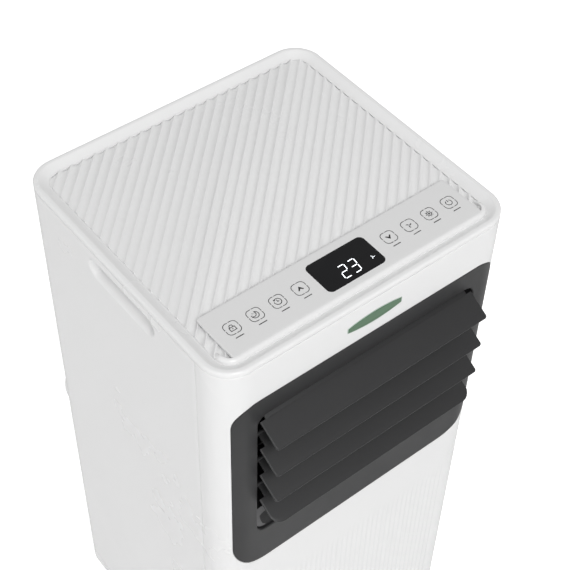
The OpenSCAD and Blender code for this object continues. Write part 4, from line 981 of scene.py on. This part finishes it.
def glyph_moon(cx, cy):
    """Crescent between two arcs of different radius, with three round stars."""
    outer = arc_points(-0.2, -0.1, 2.7, 75, -195, 20)
    inner = arc_points(-1.15, 0.95, 2.15, -133, 42, 14)
    stars = [patch(shifted(arc_points(0, 0, r, 0, 315, 7), cx + x, cy + y)) for x, y, r in
             ((-1.6, 2.2, 0.35), (-0.4, 1.2, 0.25), (-2.2, 1.0, 0.22))]
    return [ribbon(shifted(outer, cx, cy), SIGN_LINE), ribbon(shifted(inner, cx, cy), SIGN_LINE)] + stars


def glyph_timer(cx, cy):
    """Clock: an open ring with an arrow tip, and two hands at a right angle."""
    ring = arc_points(0, 0, 2.6, 125, -195, 24)
    return [ribbon(shifted(ring, cx, cy), SIGN_LINE),
            ribbon(shifted([(0, 1.5), (0, 0), (1.2, 0)], cx, cy), SIGN_LINE),
            patch(shifted([(-2.2, 1.1), (-0.7, 1.9), (-2.0, 2.9)], cx, cy))]


def glyph_chevron(cx, cy, up):
    """Solid chevron with a hollow back, pointing up or down."""
    shape = [(0, 2.0), (2.3, -1.4), (1.5, -1.7), (0, -0.2), (-1.5, -1.7), (-2.3, -1.4)]
    return [patch_split(shifted(shape, cx, cy, 0 if up else 180))]


def patch_split(outline):
    """The chevron's outline as two leaves that meet at its middle, so that each is convex."""
    tip, right, right_low, notch, left_low, left = outline
    return joined(patch([tip, notch, right_low, right]), patch([tip, left, left_low, notch]))


def glyph_mode(cx, cy):
    """Sun: a ring round a disc, with eight short rays."""
    solids = [ribbon(shifted(arc_points(0, 0, 1.75, 0, 345, 23), cx, cy), SIGN_LINE, True),
              patch(shifted(arc_points(0, 0, 0.8, 0, 330, 11), cx, cy))]
    for k in range(8):
        solids.append(ribbon(shifted([(0, 2.3), (0, 2.95)], cx, cy, 45 * k), SIGN_LINE))
    return solids


def glyph_power(cx, cy):
    """Power sign: a ring open at its top, and an upright stroke in the gap."""
    return [ribbon(shifted(arc_points(0, -0.1, 2.4, 122, 418, 24), cx, cy), SIGN_LINE),
            ribbon(shifted([(0, 0.5), (0, 2.7)], cx, cy), SIGN_LINE)]


def key_prints():
    """All touch keys: their outlines, their signs and a short bar under each."""
    signs = [glyph_lock, glyph_moon, glyph_timer, lambda x, y: glyph_chevron(x, y, True),
             lambda x, y: glyph_chevron(x, y, False), lambda x, y: fan_blades(x, y, 1.25), glyph_mode,
             glyph_power]
    solids = []
    for cx, sign in zip(KEYS_LEFT + KEYS_RIGHT, signs):
        solids += key_outline(cx, KEY_Y) + sign(cx, KEY_Y)
        bar_y = KEY_Y - BAR_DROP
        solids.append(ribbon([(cx - BAR_HALF_W, bar_y), (cx + BAR_HALF_W, bar_y)], BAR_LINE))
    return joined(*solids)


DIGIT_W = 7.0
DIGIT_H = 14.6
DIGIT_SLANT = math.tan(math.radians(8))
DIGIT_LINE = 0.85
DIGIT_GAP = 0.75
LIT_THICK = 0.05
SEGMENTS = {"a": ((0, 1), (1, 1)), "b": ((1, 1), (1, 0.5)), "c": ((1, 0.5), (1, 0)), "d": ((0, 0), (1, 0)),
            "e": ((0, 0.5), (0, 0)), "f": ((0, 1), (0, 0.5)), "g": ((0, 0.5), (1, 0.5))}


def digit(cx, cy, segments):
    """Slanted seven-segment digit: each lit segment is a bar that stops short of its ends."""
    solids = []
    for name in segments:
        (x0, y0), (x1, y1) = SEGMENTS[name]
        a = np.array([(x0 - 0.5) * DIGIT_W, (y0 - 0.5) * DIGIT_H])
        b = np.array([(x1 - 0.5) * DIGIT_W, (y1 - 0.5) * DIGIT_H])
        along = (b - a) / np.linalg.norm(b - a)
        a, b = a + along * DIGIT_GAP, b - along * DIGIT_GAP
        line = [(cx + p[0] + p[1] * DIGIT_SLANT, cy + p[1]) for p in (a, b)]
        solids.append(ribbon(line, DIGIT_LINE, z=WINDOW_Z, thick=LIT_THICK))
    return solids


def display_prints():
    """Lit digits for a set temperature, and a small fan sign."""
    digit_y = window_mid[1] - 6.0
    solids = digit(window_mid[0] - 6.2, digit_y, "abged") + digit(window_mid[0] + 4.9, digit_y, "abgcd")
    leaf = [(0.1, 0.2), (0.35, 0.9), (0.1, 2.2), (-0.35, 2.3), (-0.15, 1.0), (-0.1, 0.2)]
    for turn in (20, 140, 260):
        solids.append(patch(shifted(leaf, window_mid[0] + 24.3, window_mid[1] - 7.8, turn, 0.95),
                            z=WINDOW_Z, thick=LIT_THICK))
    return joined(*solids)


piece("key_prints", key_prints(), "cabinet", key_grey)
piece("lit_digits", display_prints(), "cabinet", digit_light)


# ---- badge ----

BADGE_END = 0.42


def badge_rings(rows):
    """Rings of the badge's outline: a lens cut square at both ends, each row (size, height off the skin)."""
    mid_x, mid_z = (badge_low[0] + badge_high[0]) / 2, (badge_low[2] + badge_high[2]) / 2
    half_w, half_h = (badge_high[0] - badge_low[0]) / 2, (badge_high[2] - badge_low[2]) / 2
    x = np.concatenate([np.linspace(1, -1, 33), np.linspace(-1, 1, 33)])
    z = (BADGE_END + (1 - BADGE_END) * (1 - x * x)) * np.where(np.arange(66) < 33, 1, -1)
    rings = []
    for inset, out in rows:
        reach_w, reach_h = half_w - inset, half_h - inset
        rings.append(np.stack([mid_x + reach_w * x, np.full_like(x, FRONT - out), mid_z + reach_h * z], -1))
    return tube_solid(np.stack(rings))


LENS_ROWS = [(0.75, 0.1), (0.75, 0.5), (0.9, 0.6), (2.4, 0.68), (4.5, 0.74), (6.4, 0.77)]
BORDER_ROWS = [(0.0, -0.1), (0.0, 0.4), (0.15, 0.52), (0.45, 0.52), (0.7, 0.4), (0.8, 0.2)]
piece("badge_skin", badge_rings(LENS_ROWS), "cabinet", badge_green, ["badge_plate"])
piece("badge_border", badge_rings(BORDER_ROWS), "cabinet", badge_line)


# ---- louvres ----

LOUVRE_REST = 29.5
LOUVRE_CHORD = 42.4
PIVOT_DEPTH = 12.6
PIVOT_DROP = 77.2
LOUVRE_PITCH = 40.4
LOUVRE_HALF_W = OUTLET_HALF_W - 2.4
BARREL_HALF_W = LOUVRE_HALF_W - 12
CRANK_ANGLE = -75.0
CRANK_LEN = 16.0
CRANK_X = -LOUVRE_HALF_W + 4.1
CRANK_T = 3.0
BARREL_R = 2.95
PIN_R = 1.95
MOTOR_LOUVRE = 1


def turned_x(profile, y=0.0, z=0.0, steps=20):
    """Turned part along X from (x, radius) pairs."""
    angle = np.linspace(0, 2 * math.pi, steps + 1)[:-1]
    rings = [np.stack([np.full(steps, x), y + r * np.cos(angle), z + r * np.sin(angle)], -1)
             for x, r in profile]
    return tube_solid(np.stack(rings))


def blade_solid(tip_r):
    """Blade: a plate with a full round tip, ends and quarter-circle corners, and a root to the barrel."""
    ends = np.concatenate([[0, 0.08, 0.3, 0.65, 1.0], np.linspace(1.0, max(tip_r, 2.0), 9)[1:],
                           [tip_r + 6, 60]])
    x = np.concatenate([-LOUVRE_HALF_W + ends, [0.0], LOUVRE_HALF_W - ends[::-1]])
    inside = LOUVRE_HALF_W - np.abs(x)
    bite = np.where(inside < tip_r, tip_r - np.sqrt(np.maximum(tip_r ** 2 - (tip_r - inside) ** 2, 0)), 0)
    half_t = np.sqrt(np.clip(1 - (1 - np.minimum(inside, 1.0)) ** 2, 0.0004, 1))
    tip = -LOUVRE_CHORD + bite
    back = -(PIVOT_DEPTH + 0.8)
    round_y = np.cos(np.radians(np.linspace(90, 270, 9)))
    round_z = np.sin(np.radians(np.linspace(90, 270, 9)))
    y_run = np.linspace(0, 1, 7)[1:-1]
    rings = []
    for k in range(len(x)):
        t = half_t[k]
        top_y = tip[k] + 1.0 + (back - tip[k] - 1.0) * y_run[::-1]
        ys = np.concatenate([[back], top_y, tip[k] + 1.0 + round_y, top_y[::-1], [back]])
        zs = np.concatenate([[t], np.full(5, t), round_z * t, np.full(5, -t), [-t]])
        rings.append(np.stack([np.full(len(ys), x[k]), ys, zs], -1))
    outer = tube_solid(np.stack(rings))
    root_x = BARREL_HALF_W + 6
    side = [(-root_x + e, t) for e, t in ((0, 0.6), (0.3, 0.9), (1.0, 1.0))]
    root = [np.array([[rx, back - 0.3, t], [rx, 0.0, t], [rx, 0.0, -t], [rx, back - 0.3, -t]])
            for rx, t in side + [(0.0, 1.0)] + [(-rx, t) for rx, t in side[::-1]]]
    return [outer, tube_solid(np.stack(root))]


def stadium_x(x0, x1, length, half_w):
    """Crank arm along Y between two X places: a stadium outline with slightly rounded faces."""
    outline = arc_points(length, 0, half_w, -90, 90, 8) + arc_points(0, 0, half_w, 90, 270, 8)
    outline = np.array(outline)
    centre = outline.mean(0)
    rings = []
    for x, size in ((x0, 0.93), (x0 + 0.3, 1.0), (x1 - 0.3, 1.0), (x1, 0.93)):
        flat = centre + (outline - centre) * size
        rings.append(np.stack([np.full(len(flat), x), flat[:, 0], flat[:, 1]], -1))
    return tube_solid(np.stack(rings))


def turned_about_x(solid, degrees):
    """A solid turned about the X axis."""
    points, faces = solid
    c, s = math.cos(math.radians(degrees)), math.sin(math.radians(degrees))
    x, y, z = points.T
    return np.stack([x, y * c - z * s, y * s + z * c], -1), faces


def louvre_solid(k):
    """Louvre k, from 0, at its rest angle: blade, barrel, pins and crank.

    The one that the motor turns has no right pin, because the motor's shaft stands there."""
    wall_x = OUTLET_HALF_W + 2.3
    parts = blade_solid(12.0 if k == 3 else 3.0)
    parts.append(turned_x([(-BARREL_HALF_W, 2.4), (-BARREL_HALF_W + 0.5, BARREL_R),
                           (BARREL_HALF_W - 0.5, BARREL_R), (BARREL_HALF_W, 2.4)]))
    parts.append(turned_x([(-wall_x, 1.7), (-wall_x + 0.3, PIN_R), (-BARREL_HALF_W + 1, PIN_R)]))
    if k != MOTOR_LOUVRE:
        parts.append(turned_x([(BARREL_HALF_W - 1, PIN_R), (wall_x - 0.3, PIN_R), (wall_x, 1.7)]))
    crank_pin = [(CRANK_X - 3.3, 1.3), (CRANK_X - 3.1, 1.55), (CRANK_X + 0.6, 1.55)]
    crank = [stadium_x(CRANK_X, CRANK_X + CRANK_T, CRANK_LEN, 2.6), turned_x(crank_pin, CRANK_LEN, 0.0, 14)]
    parts += [turned_about_x(c, CRANK_ANGLE) for c in crank]
    points, faces = turned_about_x(joined(*parts), LOUVRE_REST)
    pivot = np.array([0.0, FRONT + PIVOT_DEPTH, BODY_H - PIVOT_DROP - k * LOUVRE_PITCH])
    return points + pivot, faces


for k in range(4):
    louvre = f"louvre_{k + 1}"
    piece(louvre + "_skin", louvre_solid(k), louvre, blade_dark, [louvre])


def sill_solid():
    """Satin strip over the outlet's sill: a sagging curve that rises from the front edge to the sill's back."""
    half = OUTLET_HALF_W - 0.6
    front = np.array([FRONT + 3.6, OUTLET_LOW + 0.5])
    back = np.array([FRONT + 13.0, OUTLET_LOW + 17.6])
    share = np.linspace(0, 1, 9)
    line = front + share[:, None] * (back - front)
    sag = np.array([0.875, -0.48]) * 1.1
    line = line + (4 * share * (1 - share))[:, None] * sag[None] * 0.3
    x = np.concatenate([-half + np.array([0, 1, 2.5, 5, 9, 15]), np.linspace(-half + 25, half - 25, 9),
                        half - np.array([15, 9, 5, 2.5, 1, 0])])
    corner = np.maximum(OUTLET_R - (half - np.abs(x)), 0)
    lift = OUTLET_R - np.sqrt(np.maximum(OUTLET_R ** 2 - corner ** 2, 0))
    top = np.stack([np.broadcast_to(x, (9, len(x))), np.broadcast_to(line[:, :1], (9, len(x))),
                    line[:, 1:] + lift[None] * (1 - share[:, None])], -1)
    return slab(top, top + np.array([0, 0.2, -0.4]))


piece("sill_strip", sill_solid(), "cabinet", sill_grey)


# ---- materials of the CAD nodes that stay ----

NODE_FINISH = {
    "base_pan": shell_white, "control_board": board_green, "outlet_frame": outlet_dark,
    "sill_clip": clip_light, "louvre_link": clip_light, "swing_motor": steel_grey, "swing_shaft": steel_grey,
    "upper_filter": shell_white, "upper_mesh": net_dark, "lower_filter": shell_white, "lower_mesh": net_dark,
    "hose_collar": shell_white, "collar_screws": steel_grey, "drain_spigot": inner_grey,
    "drain_plug": rubber_black,
    "cord_gland": rubber_black, "partition": inner_grey, "drip_tray": inner_grey, "evaporator": fin_metal,
    "air_guide": outlet_dark, "crossflow_fan": outlet_dark, "fan_motor": steel_grey, "condenser": fin_metal,
    "exhaust_scroll": inner_grey, "exhaust_duct": inner_grey, "exhaust_wheel": inner_grey,
    "exhaust_motor": steel_grey, "compressor": enamel_black, "compressor_feet": rubber_black,
    "accumulator": enamel_black, "suction_pipe": copper, "discharge_pipe": copper,
    "electrical_box": steel_grey,
    "electrical_lid": steel_grey,
}
for side in ("front_left", "front_right", "rear_left", "rear_right"):
    NODE_FINISH["castor_" + side] = castor_dark
    NODE_FINISH["wheels_" + side] = tread_grey
for name, material in NODE_FINISH.items():
    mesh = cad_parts[name].data
    mesh.materials.clear()
    mesh.materials.append(material)


# ---- floor, light and camera ----

FLOOR_HALF = 9000.0
FLOOR_FLAT_R = 6000.0
FLOOR_GLOW, FLOOR_GLOW_SEEN = 0.04, 0.6
WORLD_GLOW, WORLD_GLOW_SEEN = 0.5, 1.1
LIGHT_AIM = (0, 0, 0.5)


def floor():
    """Pale floor: a wide sheet, level and then rising with the square of the distance beyond a radius.

    It is softly varied and a little self-lit, more so where the camera sees it directly."""
    material = bpy.data.materials.new("pale floor")
    material.use_nodes = True
    tree = material.node_tree
    shader = tree.nodes["Principled BSDF"]
    place = tree.nodes.new("ShaderNodeTexCoord").outputs["Object"]
    soft = noise(tree, place, 3.0, 3.0)
    tree.links.new(mixed(tree, soft.outputs["Fac"], (0.93, 0.93, 0.93, 1), (0.90, 0.90, 0.90, 1)),
                   shader.inputs["Base Color"])
    shader.inputs["Roughness"].default_value = 0.9
    shader.inputs["Emission Color"].default_value = (1, 1, 1, 1)
    seen = tree.nodes.new("ShaderNodeLightPath").outputs["Is Camera Ray"]
    tree.links.new(remap(tree, seen, 0.0, 1.0, FLOOR_GLOW, FLOOR_GLOW_SEEN), shader.inputs["Emission Strength"])
    ticks = np.linspace(-FLOOR_HALF, FLOOR_HALF, 25)
    x, y = np.meshgrid(ticks, ticks, indexing="xy")
    rise = np.maximum(np.hypot(x, y) - FLOOR_FLAT_R, 0)
    z = rise ** 2 / FLOOR_FLAT_R
    sheet = np.stack([x, y, z], -1)
    points, faces = slab(sheet, sheet - np.array([0, 0, 20.0]))
    mesh = bpy.data.meshes.new("floor")
    mesh.from_pydata((points * MM).tolist(), [], faces.tolist())
    mesh.shade_smooth()
    mesh.materials.append(material)
    obj = bpy.data.objects.new("floor", mesh)
    bpy.context.scene.collection.objects.link(obj)


def area_light(name, place, size, power):
    """A square soft white light at a place, aimed at the middle of the cabinet."""
    light = bpy.data.lights.new(name, "AREA")
    light.shape = "SQUARE"
    light.size = size
    light.energy = power
    obj = bpy.data.objects.new(name, light)
    obj.location = place
    obj.rotation_euler = (Vector(LIGHT_AIM) - Vector(place)).to_track_quat("-Z", "Y").to_euler()
    bpy.context.scene.collection.objects.link(obj)


floor()
world = bpy.data.worlds.new("studio")
world.use_nodes = True
world.node_tree.nodes["Background"].inputs["Color"].default_value = (1.0, 1.0, 1.0, 1)
behind = world.node_tree.nodes.new("ShaderNodeLightPath").outputs["Is Camera Ray"]
world.node_tree.links.new(remap(world.node_tree, behind, 0.0, 1.0, WORLD_GLOW, WORLD_GLOW_SEEN),
                          world.node_tree.nodes["Background"].inputs["Strength"])
bpy.context.scene.world = world
bpy.context.scene.view_settings.view_transform = "Standard"
area_light("key light", (-1.10, -3.75, 4.96), 2.2, 172)
area_light("left light", (-4.6, -0.6, 1.9), 2.6, 26)

camera_data = bpy.data.cameras.new("camera")
camera = bpy.data.objects.new("camera", camera_data)
bpy.context.scene.collection.objects.link(camera)
bpy.context.scene.camera = camera
CAMERA_AZ, CAMERA_EL, CAMERA_ROLL = math.radians(-39.51), math.radians(48.10), math.radians(1.672)
CAMERA_PLACE = (-0.5381, -0.6840, BODY_H * MM + 0.8429)
camera_data.sensor_width = 36.0
camera_data.lens = 83.85
camera_data.clip_end = 100.0
back = np.array([math.sin(CAMERA_AZ) * math.cos(CAMERA_EL), -math.cos(CAMERA_AZ) * math.cos(CAMERA_EL),
                 math.sin(CAMERA_EL)])
right = np.array([math.cos(CAMERA_AZ), math.sin(CAMERA_AZ), 0.0])
up = np.cross(back, right)
c, s = math.cos(CAMERA_ROLL), math.sin(CAMERA_ROLL)
axes = np.stack([c * right + s * up, -s * right + c * up, back], 1)
camera.matrix_world = Matrix([list(axes[r]) + [CAMERA_PLACE[r]] for r in range(3)] + [[0, 0, 0, 1]])
